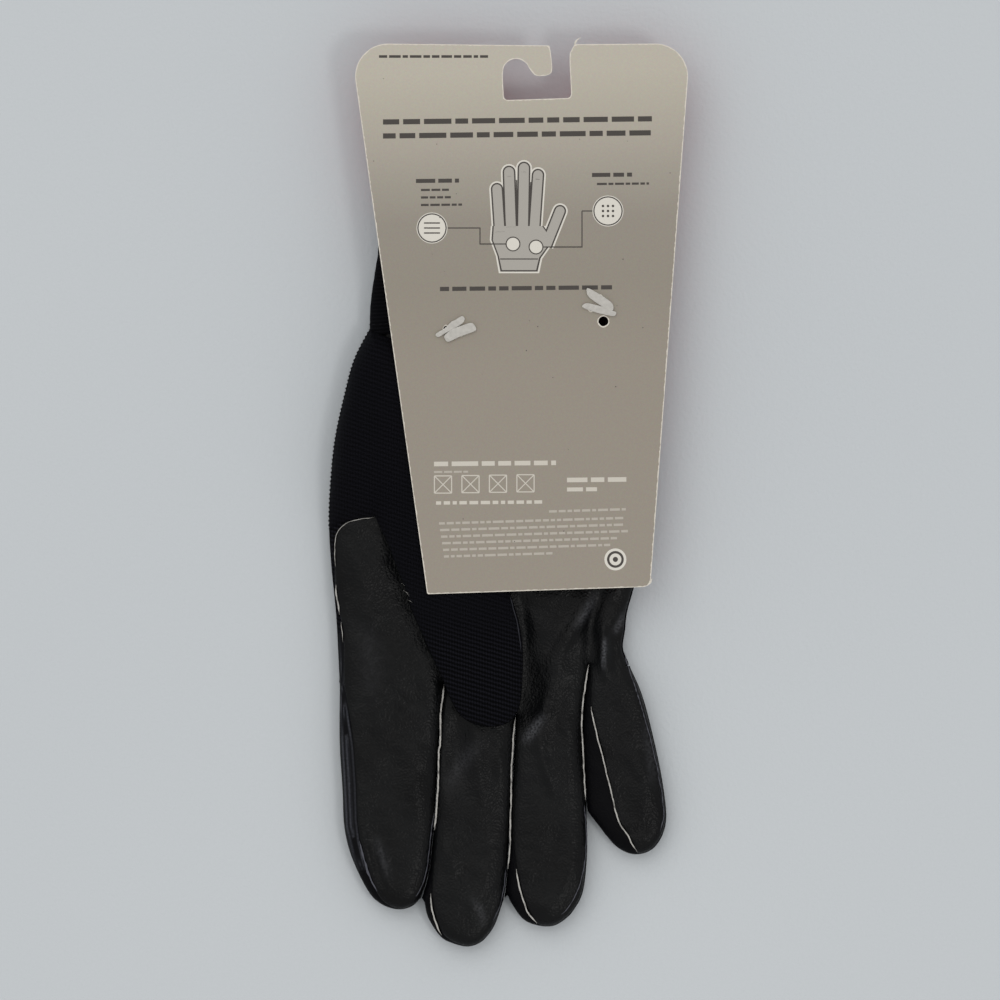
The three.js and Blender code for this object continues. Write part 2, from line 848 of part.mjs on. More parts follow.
const card = new THREE.Group();
card.position.set(cardX, cardBottomY, 0);
card.rotation.z = radians(cardTurn);
glove.add(card);

const cardShape = cardOutline();
for (const [x, y, radius] of [
  [punchX, punchY, punchRadius],
  ...pins.map((pin) => [pin.x, pin.y, pinHole / 2]),
]) {
  const hole = new THREE.Path();
  hole.absarc(x, y, radius, 0, 2 * PI, true);
  cardShape.holes.push(hole);
}
addMesh("hang_card", plate(cardShape, cardPlane, cardThickness, 0, 5), "card", card);

// Nylon tag pins, each moulded in one: a flat head, a filament and a crossbar
pins.forEach(({ x, y, turn, slide }, i) => {
  const headPlane = cardTop + headGap;
  const [left, right] = [slide - headLength / 2, slide + headLength / 2];
  const [near, far] = [-headWidth / 2, headWidth / 2];
  const head = outlineOf([
    [left, near, headCorner],
    [right, near, headCorner],
    [right, far, headCorner],
    [left, far, headCorner],
  ]);
  const crossbarZ = crossbarTop - crossbarWidth / 2;
  const crossbar = [-1, 1].map((way) => {
    return new THREE.Vector3(0, (way * crossbarLength) / 2, crossbarZ);
  });
  const thread = [crossbarZ, headPlane + headThickness / 2].map((z) => new THREE.Vector3(0, 0, z));
  const pin = join([
    plate(head, headPlane, headThickness, 0, 2).rotateZ(radians(turn)),
    rod(filament / 2, ...thread, 8),
    rod(crossbarWidth / 2, ...crossbar, 8),
  ]);
  pin.translate(x, y, 0);
  addMesh(`tag_pin_${i + 1}`, pin, "nylon", card);
});

export default glove;
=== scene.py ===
# A batting glove for a right hand, lying on its back with its thumb folded over the palm, under
# a hang card that nylon tag pins hold at the wrist. Sizes are in millimetres until a mesh is
# made, and X runs across the palm, Y from the fingertips to the wrist and Z up from the table.
import json
import math

import bmesh
import bpy
import numpy as np
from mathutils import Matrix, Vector
from mathutils.geometry import delaunay_2d_cdt


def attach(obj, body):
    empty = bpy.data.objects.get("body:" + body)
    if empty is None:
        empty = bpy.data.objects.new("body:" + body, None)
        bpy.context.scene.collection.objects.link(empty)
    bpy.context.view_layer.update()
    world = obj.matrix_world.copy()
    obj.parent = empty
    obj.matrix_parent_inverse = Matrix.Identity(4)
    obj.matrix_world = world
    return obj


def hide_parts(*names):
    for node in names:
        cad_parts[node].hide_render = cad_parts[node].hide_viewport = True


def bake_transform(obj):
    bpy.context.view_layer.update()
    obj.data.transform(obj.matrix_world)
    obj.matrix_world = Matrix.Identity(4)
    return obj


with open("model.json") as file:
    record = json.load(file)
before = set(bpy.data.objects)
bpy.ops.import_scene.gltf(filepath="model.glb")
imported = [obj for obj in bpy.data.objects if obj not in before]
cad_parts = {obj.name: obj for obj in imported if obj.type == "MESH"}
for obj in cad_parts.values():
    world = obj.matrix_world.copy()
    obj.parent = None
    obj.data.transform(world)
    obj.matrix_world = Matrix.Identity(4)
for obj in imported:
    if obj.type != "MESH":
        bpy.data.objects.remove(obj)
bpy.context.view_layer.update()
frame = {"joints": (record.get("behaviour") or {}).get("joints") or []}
scene = bpy.context.scene
scene.view_settings.view_transform = "Standard"
MM = 0.001


# Table, light and camera
# The glove lies on a pale coated board, under a broad window to its upper left and a small one far
# off to its lower right. The camera looks straight down, with a frame as wide as the photograph's,
# in which a pixel is 0.32 mm.
PIXEL = 0.32
IMAGE = 1000
CENTRE_X, CENTRE_Y = 507.6, 495.5
CAMERA_HEIGHT, TABLE_REACH = 0.9, 1.5


def from_pixel(column, row):
    """The place on the table under a pixel of the photograph."""
    return (column - CENTRE_X) * PIXEL, (CENTRE_Y - row) * PIXEL


def linear(code):
    """An sRGB hex colour in Blender's linear light."""
    shares = [int(code[i : i + 2], 16) / 255 for i in (1, 3, 5)]
    return (*[s / 12.92 if s <= 0.04045 else ((s + 0.055) / 1.055) ** 2.4 for s in shares], 1.0)


def node(tree, kind, settings=None, **inputs):
    """Adds one node, sets its properties, and fills or links its inputs by name."""
    made = tree.nodes.new(kind)
    for key, value in (settings or {}).items():
        setattr(made, key, value)
    for key, value in inputs.items():
        place = int(key[1:]) if key[0] == "i" and key[1:].isdigit() else key.replace("_", " ")
        socket = made.inputs[place]
        if isinstance(value, bpy.types.NodeSocket):
            tree.links.new(value, socket)
        else:
            socket.default_value = value
    return made


def new_material(name, **shader):
    """A material with one shader, whose plain values sit on its own sockets."""
    made = bpy.data.materials.new(name)
    made.use_nodes = True
    tree = made.node_tree
    surface = tree.nodes["Principled BSDF"]
    for key, value in shader.items():
        surface.inputs[key.replace("_", " ")].default_value = value
    return made, tree, surface


def tinted(tree, surface, factor, first, second):
    """Gives a surface a colour between two, by a factor."""
    mixed = node(tree, "ShaderNodeMix", {"data_type": "RGBA"}, Factor=factor, A=linear(first),
                 B=linear(second))
    tree.links.new(mixed.outputs["Result"], surface.inputs["Base Color"])


def fine_relief(tree, surface, height, strength, depth):
    """Gives a surface a relief too fine for its mesh, from a height."""
    bump = node(tree, "ShaderNodeBump", Height=height, Strength=strength, Distance=depth)
    tree.links.new(bump.outputs["Normal"], surface.inputs["Normal"])


def add_camera_and_light():
    camera = bpy.data.objects.new("camera", bpy.data.cameras.new("camera"))
    scene.collection.objects.link(camera)
    scene.camera = camera
    camera.data.type = "ORTHO"
    camera.data.ortho_scale = IMAGE * PIXEL * MM
    middle = from_pixel(IMAGE / 2, IMAGE / 2)
    camera.location = (middle[0] * MM, middle[1] * MM, CAMERA_HEIGHT)
    camera.data.clip_end = 3

    for name, energy, angle, way in (("window", 0.52, 50, (0.32, -0.55, -1.0)),
                                     ("far_window", 0.34, 12, (-0.46, 0.24, -1.0))):
        window = bpy.data.lights.new(name, "SUN")
        window.energy = energy
        window.angle = math.radians(angle)
        window.color = (0.99, 0.972, 0.94)
        lamp = bpy.data.objects.new(name, window)
        scene.collection.objects.link(lamp)
        lamp.rotation_euler = Vector(way).to_track_quat("-Z", "Y").to_euler()

    world = bpy.data.worlds.new("room")
    scene.world = world
    world.use_nodes = True
    background = world.node_tree.nodes["Background"]
    background.inputs["Color"].default_value = linear("#e9e9e8")
    background.inputs["Strength"].default_value = 0.88


def add_table():
    mesh = bpy.data.meshes.new("table")
    corners = [(TABLE_REACH * x, TABLE_REACH * y, 0) for x, y in ((-1, -1), (1, -1), (1, 1), (-1, 1))]
    mesh.from_pydata(corners, [], [(0, 1, 2, 3)])
    table = bpy.data.objects.new("table", mesh)
    scene.collection.objects.link(table)
    # Coated board: a satin coat with a fine pebble, so that it looks even, with the faintest grain
    coated, tree, surface = new_material("coated_board", Roughness=0.75)
    places = node(tree, "ShaderNodeTexCoord").outputs["Object"]
    drift = node(tree, "ShaderNodeTexNoise", Vector=places, Scale=3.0, Detail=1.0)
    tinted(tree, surface, drift.outputs["Fac"], "#bfc4c9", "#c7ccd0")
    pebble = node(tree, "ShaderNodeTexNoise", Vector=places, Scale=650.0, Detail=2.0)
    fine_relief(tree, surface, pebble.outputs["Fac"], 0.3, 0.0004)
    mesh.materials.append(coated)


add_camera_and_light()
add_table()


# Palm leather
# Black goatskin, cut as one flat piece and turned in along its seams, so that it lies like a
# thin pillow: it falls to the seams round its edge and to the slits between the fingers. Each
# panel is cut from a flat outline, meshed, and given its height.
HAND_TOP, HAND_BOTTOM, HAND_MIDDLE = 9.5, 1.1, 5.0
PILLOW_POWER = 2.4
FINGER_REACH, HAND_REACH = 7.5, 10.0
LEATHER, KNIT = 0.9, 0.6
SPACING = 0.9

wrist_left, wrist_right = (-44.1, 53.3), (33.0, 58.3)
left_edge = [wrist_left, (-49, 43.6), (-52.1, 32.4), (-55.3, 17.3), (-56.8, 1.4), (-57.1, -10.6),
             (-56.4, -22.5), (-54.8, -39.2), (-53.8, -58.4)]
right_edge = [(38.6, -53.3), (36.9, -48.8), (37.6, -43), (38.2, -37.5), (40.3, -29.9), (43.5, -18.1),
              (45, 0), (43, 25), (38, 45), wrist_right]
index_tip = [(-53.8, -58.4), (-53.9, -78.1), (-53, -93.9), (-52.4, -106), (-50, -115.8), (-44.8, -126.6),
             (-40.4, -130.9), (-35.1, -132.6), (-30.6, -131.6), (-27.6, -128.8)]
middle_tip = [(-26.9, -129.2), (-25.6, -135), (-21.8, -141), (-18.2, -143.2), (-13, -144.5), (-9, -143.4),
              (-6.3, -141), (-3.8, -137.1), (-1.2, -129.5)]
ring_tip = [(-0.3, -127), (0.8, -130), (4.7, -135.5), (9.5, -137.7), (14.5, -137.9), (18.4, -135.8),
            (21.3, -132.7), (24.3, -126.6), (25.6, -114.4), (25.4, -100.8)]
little_tip = [(25.6, -101.2), (28.7, -105.3), (34.8, -112.5), (41.2, -115), (47.3, -112.5), (50.8, -104.8),
              (50, -93.4), (47, -78.2), (43.2, -63.8), (38.6, -53.3)]
index_slit = [(-27.6, -128.8), (-25.4, -121.4), (-24.3, -113), (-23.5, -105), (-22.7, -92), (-21.6, -74),
              (-20.1, -60.3)]
middle_slit = [(-1.2, -129.5), (-0.3, -122), (0.6, -108), (1.2, -97), (2.0, -84), (2.7, -70.6)]
ring_slit = [(25.4, -100.8), (24.9, -92.8), (23.9, -78.1), (24.6, -63.4), (26.3, -53.3)]


def through(points, step, closed=False):
    """Points every step along a smooth line through a few chosen ones."""
    chosen = np.array(points, float)
    ends = [chosen[-1:], chosen[:2]] if closed else [2 * chosen[:1] - chosen[1:2],
                                                     2 * chosen[-1:] - chosen[-2:-1]]
    run = np.vstack([ends[0], chosen, ends[1]])
    line = []
    for a, b, c, d in zip(run, run[1:], run[2:], run[3:]):
        count = max(math.ceil(np.linalg.norm(c - b) / step), 1)
        t = np.arange(count)[:, None] / count
        square, cube = 2 * a - 5 * b + 4 * c - d, 3 * b - a - 3 * c + d
        line.append(0.5 * (2 * b + (c - a) * t + square * t**2 + cube * t**3))
    if not closed:
        line.append(chosen[-1:])
    return np.vstack(line)


def distance(places, line):
    """How far each place lies from a line."""
    nearest = np.full(len(places), np.inf)
    for a, b in zip(line, line[1:]):
        along = b - a
        t = np.clip((places - a) @ along / max(along @ along, 1e-12), 0, 1)
        nearest = np.minimum(nearest, np.hypot(*(places - a - t[:, None] * along).T))
    return nearest


def edge_distance(places, loops):
    """How far each place lies from the nearest of some closed loops."""
    return np.min([distance(places, np.vstack([one, one[:1]])) for one in loops], 0)


def left_of(along):
    """The way to the left of each step."""
    return np.stack([-along[:, 1], along[:, 0]], 1) / np.maximum(np.hypot(*along.T), 1e-9)[:, None]


def into(loop):
    """The way into a closed loop, at each of its points."""
    return left_of(np.roll(loop, -1, 0) - np.roll(loop, 1, 0))


def inside(places, loop):
    """Whether each place lies inside a closed loop."""
    x, y = places.T
    within = np.zeros(len(places), bool)
    for (ax, ay), (bx, by) in zip(loop, np.roll(loop, -1, 0)):
        crosses = (ay > y) != (by > y)
        with np.errstate(divide="ignore", invalid="ignore"):
            within ^= crosses & (x < (bx - ax) * (y - ay) / (by - ay) + ax)
    return within


seams = [through(line, 1.0) for line in (
    left_edge, right_edge, index_tip, middle_tip, ring_tip, little_tip, index_slit, middle_slit, ring_slit)]


def pillow(depth, reach):
    """From 0 at a seam to 1 at its reach, steep at first, as a stuffed panel rises."""
    left = 1 - np.clip(depth / reach, 0, 1)
    return (1 - left**PILLOW_POWER) ** (1 / PILLOW_POWER)


def seam_depth(places):
    return np.min([distance(places, line) for line in seams], 0)


def reach_at(places):
    """Fingers are fuller near their seams than the hand is."""
    share = np.clip((places[:, 1] + 75) / 40, 0, 1)
    return FINGER_REACH + (HAND_REACH - FINGER_REACH) * share


# Creases and ridges of the leather: a line, how wide it is, and how far it stands up or sinks
creases = [
    ([(31, -27), (28.6, -34), (26.9, -40), (26.4, -47), (27, -57)], 2.3, -2.3),
    ([(13.5, -55), (18, -47), (22.2, -40.5), (27, -32)], 2.3, 1.5),
    ([(31, -41), (31, -49), (31.4, -59)], 1.6, 1.9),
    ([(38.7, -33.5), (35.5, -37), (31.5, -41)], 1.6, 1.0),
    ([(35.5, -43), (34.3, -49), (34.7, -56)], 1.9, -0.9),
    ([(4.6, -33), (5.4, -42), (6.2, -51)], 2.2, -1.2),
    ([(5.4, -46), (6.4, -57), (5.8, -68), (3.6, -79)], 4.8, -2.6),
    ([(18, -50), (14.6, -60), (12, -70), (10.4, -84)], 2.6, 1.2),
    ([(-14, -65), (-16.2, -76), (-17.6, -94)], 4.6, -3.0),
    ([(-11, -74), (-9.5, -84), (-8.5, -99)], 2.6, 1.0),
    ([(-4, -74), (-2.5, -84), (-2, -95)], 1.8, 0.6),
    ([(9.5, -76), (11.5, -85), (15, -96)], 1.7, 0.8),
    ([(19, -72), (20.5, -84), (21, -96)], 2.2, 0.5),
    ([(-41, -4), (-37.5, -16), (-33, -29), (-29.5, -39), (-25.5, -48), (-21, -59)], 3.6, -1.1),
    ([(-50, -15), (-46.5, -29), (-43.5, -43)], 3.2, 0.7),
    ([(-48, -50), (-43.5, -62), (-40, -77)], 3.4, 0.8),
    ([(-27, -66), (-32, -67), (-38, -63)], 2.6, -0.7),
    ([(-33, -80), (-30, -92), (-29, -106)], 3.0, 0.5),
    ([(-46.2, -104), (-45.4, -113), (-42.8, -122)], 1.2, 0.6),
    ([(-43.6, -110), (-42, -118), (-40, -126)], 1.2, -0.7),
    ([(-41, -111), (-39.4, -118), (-37.8, -126)], 1.1, 0.7),
    ([(0, -123), (-5, -129), (-9, -137)], 1.6, -0.6),
    ([(-5.5, -117), (-8.5, -126), (-13, -135)], 1.8, 0.6),
    ([(-20, -110), (-17, -122), (-14, -130)], 2.4, 0.5),
    ([(22, -112), (19.5, -122), (15, -131)], 2.2, 0.5),
    ([(39.9, -56), (42, -63), (44.8, -73)], 2.2, 1.1),
    ([(41, -83), (43.5, -92), (43, -101)], 2.4, 0.6),
    ([(36, -108), (41, -108), (46, -105)], 1.6, -0.6),
]
creases = [(through(line, 1.5), width, height) for line, width, height in creases]


def stroke(places, line, width):
    """From 1 on the middle of a line to 0 away from it, dying out towards its ends."""
    total = np.zeros(len(places))
    near = np.abs(places - line.mean(0)).max(1) < np.abs(line - line.mean(0)).max() + 3 * width
    for i, (a, b) in enumerate(zip(line, line[1:])):
        along = b - a
        t = np.clip((places[near] - a) @ along / max(along @ along, 1e-12), 0, 1)
        gap = np.hypot(*(places[near] - a - t[:, None] * along).T)
        fade = np.sin(np.pi * np.clip((i + t) / (len(line) - 1), 0, 1)) ** 0.7
        total[near] = np.maximum(total[near], np.exp(-((gap / width) ** 2)) * fade)
    return total


# The unevenness of a worked skin, as slow waves that run every way
SKIN_RELIEF = 0.0011
waves = np.random.default_rng(11)
skin = [(length, waves.uniform(0, math.pi), waves.uniform(0, 6.3)) for length in waves.uniform(3.5, 15, 22)]


def skin_height(places):
    total = np.zeros(len(places))
    for length, angle, phase in skin:
        along = places[:, 0] * math.cos(angle) + places[:, 1] * math.sin(angle)
        turn = along * 2 * math.pi / length + phase
        total += length**1.5 * SKIN_RELIEF * np.sin(turn + 0.8 * np.sin(turn * 0.37))
    return total


# Painted highlights on the crests of folds, where a paler grey is painted into the colour: a line, its width
# and its strength
painted_crest_highlights = [(through(line, 1.5), width, strength) for line, width, strength in (
    ([(28.6, -31), (25.4, -36.5), (21.8, -42.5)], 1.3, 0.8),
    ([(31.2, -45), (30.8, -50), (30.6, -56)], 0.6, 1.5),
    ([(37.4, -37.5), (35.8, -41), (34, -44.5)], 0.9, 0.8),
    ([(11.5, -70.5), (8.2, -75), (5.6, -79)], 1.5, 1.1),
    ([(-9, -79), (-14, -85), (-19, -93)], 2.2, 0.3),
    ([(-47, -40), (-43.6, -52), (-45, -66)], 3.4, 0.16),
    ([(-42.5, -109), (-40, -116), (-38, -123)], 1.4, 0.35),
    ([(-11.5, -129), (-8.6, -133), (-7.6, -138)], 1.2, 0.4),
    ([(43.6, -72), (45.6, -82), (46.4, -93)], 1.5, 0.3),
)]


# How strong the painted crest highlight is at each place
def painted_crest_highlight(places):
    return np.max([strength * stroke(places, line, width) for line, width, strength in painted_crest_highlights], 0)


def crease_height(places):
    return sum(height * stroke(places, line, width) for line, width, height in creases) + skin_height(places)


def palm_height(places):
    """The top of the glove, without the thumb."""
    rise = pillow(seam_depth(places), reach_at(places))
    return HAND_MIDDLE + (HAND_TOP - HAND_MIDDLE) * rise + crease_height(places) * rise


def back_height(places):
    """The underside, which the table presses flat."""
    return HAND_MIDDLE - (HAND_MIDDLE - HAND_BOTTOM) * pillow(seam_depth(places), reach_at(places) * 0.8)


def wound(loop):
    """The same closed loop, anticlockwise."""
    x, y = loop.T
    turn = np.sum(x * np.roll(y, -1) - np.roll(x, -1) * y)
    return loop if turn > 0 else loop[::-1]


def even(loop, step):
    """A closed loop, with its points spaced evenly."""
    closed = np.vstack([loop, loop[:1]])
    run = np.concatenate([[0], np.cumsum(np.hypot(*np.diff(closed, axis=0).T))])
    stops = np.linspace(0, run[-1], max(int(run[-1] / step), 8), endpoint=False)
    return np.stack([np.interp(stops, run, closed[:, k]) for k in (0, 1)], 1)


RINGS = (0.15, 0.4, 0.8, 1.4, 2.2)


def triangles_of(loop, holes=(), spacing=SPACING, rings=RINGS):
    """Places and triangles that fill a loop: rows along its edge, and an even grid inside."""
    loops = [loop, *holes]
    rows = []
    for one, side in [(loop, 1), *[(hole, -1) for hole in holes]]:
        for gap in rings:
            row = one + side * gap * into(one)
            rows.append(row[edge_distance(row, loops) > gap * 0.93])
    low, high = loop.min(0), loop.max(0)
    height = spacing * math.sqrt(3) / 2
    ys = np.arange(low[1], high[1], height)
    xs = np.arange(low[0], high[0], spacing)
    grid = np.array([(x + (j % 2) * spacing / 2, y) for j, y in enumerate(ys) for x in xs])
    grid = grid[inside(grid, loop)]
    last = rings[-1] if rings else 0
    grid = grid[edge_distance(grid, loops) > last + spacing * 0.6]
    places = np.vstack([*loops, *rows, grid])
    edges, first = [], 0
    for one in loops:
        count = len(one)
        edges += [(first + i, first + (i + 1) % count) for i in range(count)]
        first += count
    found, _, faces, _, _, _ = delaunay_2d_cdt([Vector(p) for p in places.tolist()], edges, [], 0, 1e-5)
    found = np.array([tuple(v) for v in found])
    faces = np.array([tuple(face) for face in faces])
    middles = found[faces].mean(1)
    kept = inside(middles, loop)
    for hole in holes:
        kept &= ~inside(middles, hole)
    return found, faces[kept]


def border_pairs(faces):
    """The directed edges that only one triangle has."""
    pairs = {}
    for a, b, c in faces.tolist():
        for one, other in ((a, b), (b, c), (c, a)):
            pairs[(one, other)] = True
    return [pair for pair in pairs if (pair[1], pair[0]) not in pairs]


def two_skins(faces, count):
    """The faces of a sheet: an upper skin, the same one below it, and its edge."""
    edge = [(b, a, a + count, b + count) for a, b in border_pairs(faces)]
    return [*faces.tolist(), *(faces[:, ::-1] + count).tolist(), *edge]


def flat_map(mesh, places):
    """A UV map that gives each point its place, in metres."""
    corners = np.empty(len(mesh.loops), np.int32)
    mesh.loops.foreach_get("vertex_index", corners)
    layer = mesh.uv_layers.new(name="flat")
    layer.data.foreach_set("uv", places[corners].astype(np.float32).ravel())


def mesh_object(name, places, faces, material, uv=None, sharp=50, **marks):
    """A mesh from places in millimetres. Its UV map and its marks are per point."""
    mesh = bpy.data.meshes.new(name)
    mesh.from_pydata((np.asarray(places) * MM).tolist(), [], [list(face) for face in faces])
    mesh.shade_smooth()
    mesh.set_sharp_from_angle(angle=math.radians(sharp))
    flat_map(mesh, (np.asarray(places)[:, :2] if uv is None else np.asarray(uv)) * MM)
    for key, values in marks.items():
        mark = mesh.attributes.new(key, "FLOAT", "POINT")
        mark.data.foreach_set("value", np.asarray(values, np.float32))
    mesh.materials.append(material)
    mesh.validate()
    made = bpy.data.objects.new(name, mesh)
    scene.collection.objects.link(made)
    return made


EDGE_ROUND, JOIN_FADE = 0.35, 0.9


def panel(name, loop, height, thickness, material, lift=0.0, edge_drop=0.25, up=True, spacing=SPACING,
          marks=None, joins=()):
    """A cut panel of cloth or leather on a height. Its edge is rounded over, but not at a join."""
    loop = wound(np.asarray(loop, float))
    places, faces = triangles_of(loop, (), spacing)
    drop = edge_drop * np.exp(-edge_distance(places, [loop]) / EDGE_ROUND)
    for join in joins:
        drop *= np.clip(distance(places, np.array(join, float)) / JOIN_FADE, 0, 1)
    outer = height(places) + (lift - drop) * (1 if up else -1)
    inner = outer - thickness * (1 if up else -1)
    low, high = (inner, outer) if up else (outer, inner)
    points = np.vstack([np.column_stack([places, high]), np.column_stack([places, low])])
    made = {key: np.tile(make(places), 2) for key, make in (marks or {}).items()}
    return mesh_object(name, points, two_skins(faces, len(places)), material, np.vstack([places, places]),
                       **made)


def in_millimetres(tree):
    """The piece's own UV map, counted in millimetres."""
    flat = node(tree, "ShaderNodeUVMap", {"uv_map": "flat"}).outputs["UV"]
    return node(tree, "ShaderNodeVectorMath", {"operation": "SCALE"}, i0=flat, Scale=1 / MM).outputs["Vector"]


def goatskin(name, first, second, gloss, shine):
    """Drum-dyed goatskin: pebbles two thirds of a millimetre across, under finer drawn lines."""
    made, tree, surface = new_material(name, Roughness=gloss, Specular_IOR_Level=shine)
    places = in_millimetres(tree)
    pebble = node(tree, "ShaderNodeTexVoronoi", {"feature": "SMOOTH_F1"}, Vector=places, Scale=1.5,
                  Smoothness=0.5)
    drawn = node(tree, "ShaderNodeMapping", Vector=places, Scale=(0.9, 0.28, 1.0), Rotation=(0, 0, 0.5))
    lines = node(tree, "ShaderNodeTexNoise", Vector=drawn.outputs["Vector"], Scale=1.4, Detail=3.0,
                 Roughness=0.6)
    hide = node(tree, "ShaderNodeTexNoise", Vector=places, Scale=0.045, Detail=3.0)
    worn = node(tree, "ShaderNodeTexNoise", Vector=places, Scale=0.5, Detail=4.0, Roughness=0.7)
    shade = node(tree, "ShaderNodeMath", {"operation": "MULTIPLY_ADD"}, i0=worn.outputs["Fac"], i1=0.45,
                 i2=hide.outputs["Fac"])
    spread = node(tree, "ShaderNodeMapRange", Value=shade.outputs["Value"], From_Min=0.45, From_Max=0.95)
    # Painted highlight: along the marked fold crests a paler grey is mixed into the colour over the pebbles
    crest_highlight_mask = node(tree, "ShaderNodeAttribute", {"attribute_name": "painted_crest_highlight"}).outputs["Fac"]
    thin = node(tree, "ShaderNodeMath", {"operation": "MULTIPLY"}, i0=pebble.outputs["Distance"], i1=crest_highlight_mask)
    dyed = node(tree, "ShaderNodeMix", {"data_type": "RGBA"}, Factor=spread.outputs["Result"],
                A=linear(first), B=linear(second))
    crest_highlight_colour = node(tree, "ShaderNodeMix", {"data_type": "RGBA"}, Factor=thin.outputs["Value"],
                A=dyed.outputs["Result"], B=linear("#505155"))
    tree.links.new(crest_highlight_colour.outputs["Result"], surface.inputs["Base Color"])
    relief = node(tree, "ShaderNodeMath", {"operation": "MULTIPLY_ADD"}, i0=lines.outputs["Fac"], i1=0.8,
                  i2=pebble.outputs["Distance"])
    fine_relief(tree, surface, relief.outputs["Value"], 0.45, 0.0003)
    return made


# Goatskin, glazed: the grain face of the palm, near black, with a low grey gloss that breaks up over
# its pebbles. On the crests of folds a paler grey is painted in as highlight.
palm_black = goatskin("goatskin_palm", "#040405", "#0f1011", 0.31, 0.12)
# Goatskin, matt: the thinner skins of the gussets, duller and a shade darker than the palm
gusset_black = goatskin("goatskin_gusset", "#050507", "#09090c", 0.46, 0.05)
# Goatskin in folds: a bluish grey highlight is painted on its crests, and its hollows stay dark
fold_black, fold_tree, fold_surface = new_material("goatskin_fold_painted_highlight", Roughness=0.5,
                                                   Specular_IOR_Level=0.08)
# Painted highlight: the crest mark, broken up by grain, mixes the bluish grey into the colour
fold_highlight_mask = node(fold_tree, "ShaderNodeAttribute", {"attribute_name": "crest"}).outputs["Fac"]
fold_grain = node(fold_tree, "ShaderNodeTexNoise", Vector=in_millimetres(fold_tree), Scale=1.6, Detail=3.0)
fold_painted_highlight = node(fold_tree, "ShaderNodeMath", {"operation": "MULTIPLY"}, i0=fold_grain.outputs["Fac"],
                 i1=fold_highlight_mask)
tinted(fold_tree, fold_surface, fold_painted_highlight.outputs["Value"], "#060609", "#55575f")

# Where each finger's leather starts on the palm, a little above the knuckle that it bends on
START = {"index": -59.8, "middle": -70.0, "ring": -65.5, "little": -54.5}
JOINS = {"index": [(-60, -59.8), (-20.2, -59.8)], "middle": [(-21.2, -70.0), (2.6, -70.0)],
         "ring": [(2.9, -65.5), (24.4, -65.5)], "little": [(26.0, -54.5), (39, -54.5)]}


def between(line, high, low):
    """The stretch of a line between two levels, ending exactly on them."""
    line = line if line[0][1] > line[-1][1] else line[::-1]
    x_at = lambda y: np.interp(-y, -line[:, 1], line[:, 0])
    kept = line[(line[:, 1] < high - 0.2) & (line[:, 1] > low + 0.2)]
    return np.vstack([[x_at(high), high], kept, [x_at(low), low]])


left_line, right_line, index_line, middle_line, ring_line, little_line, slit_one, slit_two, slit_three = seams

raw_crotch = [(-42.4, -7), (-46, -7.2), (-49.6, -7.9), (-53, -9.4), (-55.0, -12.9), (-55.3, -21),
              (-55.0, -30.7), (-53.4, -39), (-52.5, -44.2)]
leather_left = through(raw_crotch + [(-52.4, -52), (-52.4, -59.8)], 0.8)

palm_loop = np.vstack([
    [(-39, 54.2), (-40.5, 20), (-42.4, -6)], leather_left,
    [(-20.2, START["index"])], between(slit_one, -60.5, START["middle"]),
    [(2.55, START["middle"])], [(2.9, START["ring"])],
    between(slit_three, -57, START["ring"])[::-1], [(26.1, START["little"]), (38.5, START["little"])],
    through([(38.3, -53.3), *right_edge[1:]], 0.9), [(10, 57)],
])
palm_loop[:, 0] = np.where(palm_loop[:, 0] > 34, palm_loop[:, 0] - 0.5, palm_loop[:, 0])
# The palm carries the painted crest highlights as a mark
palm_leather = panel("palm_leather_panel", even(palm_loop, 0.8), palm_height, LEATHER, palm_black,
                     spacing=0.7, joins=JOINS.values(), marks={"painted_crest_highlight": painted_crest_highlight})
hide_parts("palm_leather")
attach(palm_leather, "hand")


# Finger stalls
# Each stall is leather on the palm side, sewn to gussets at its sides, with knit behind and a
# leather cap over the back of the fingertip. The panels share one pillow and lie unbent at the knuckle.
joints = {joint["child"]: joint for joint in frame["joints"]}
BEND, GUSSET_STEP = 5.6, 0.55

inset_index = [(-46.6, -113.5), (-45, -119), (-42.6, -125.4), (-39.6, -129.9), (-35.1, -132.1), (-31, -131.2),
               (-28, -128.6)]
leather_lines = {
    "index": [*inset_index, (-25.8, -121.4), (-24.7, -113), (-23.9, -105), (-23.1, -92), (-22, -74),
              (-20.5, -61)],
    "middle": [(-21.2, -71), (-22.1, -84), (-22.7, -98), (-23.6, -112), (-24.2, -122), (-23.9, -130),
               (-22.9, -135), (-20.9, -139.8), (-17.6, -142.6), (-13, -144.0), (-9.3, -143), (-6.7, -140.7),
               (-4.3, -136.9), (-1.9, -129.5), (-1, -122), (0, -108), (0.7, -97), (1.5, -84), (2.2, -72)],
    "ring": [(3.2, -67), (2.5, -84), (1.9, -97), (1.7, -108), (2.7, -117), (3.9, -124.2), (6.4, -132),
             (9.6, -136.9), (14.5, -137.4), (18.1, -135.3), (20.9, -132.3), (23.8, -126.4), (25, -114.4),
             (24.9, -101), (24.4, -92.8), (23.4, -78.1), (24.1, -66.5)],
    "little": [(26.6, -56), (26.9, -68.8), (30.9, -83.6), (33.6, -96.8), (35.4, -103.4), (38.7, -108.6),
               (41.6, -114.3), (47, -112), (50.3, -104.6), (49.5, -93.4), (46.5, -78.2), (42.7, -63.8),
               (39.3, -55.8)],
}
leather_left_index = [(-52.4, START["index"]), (-51.0, -68), (-49.2, -80), (-48.3, -93), (-48.0, -104),
                      (-47.2, -110.5)]


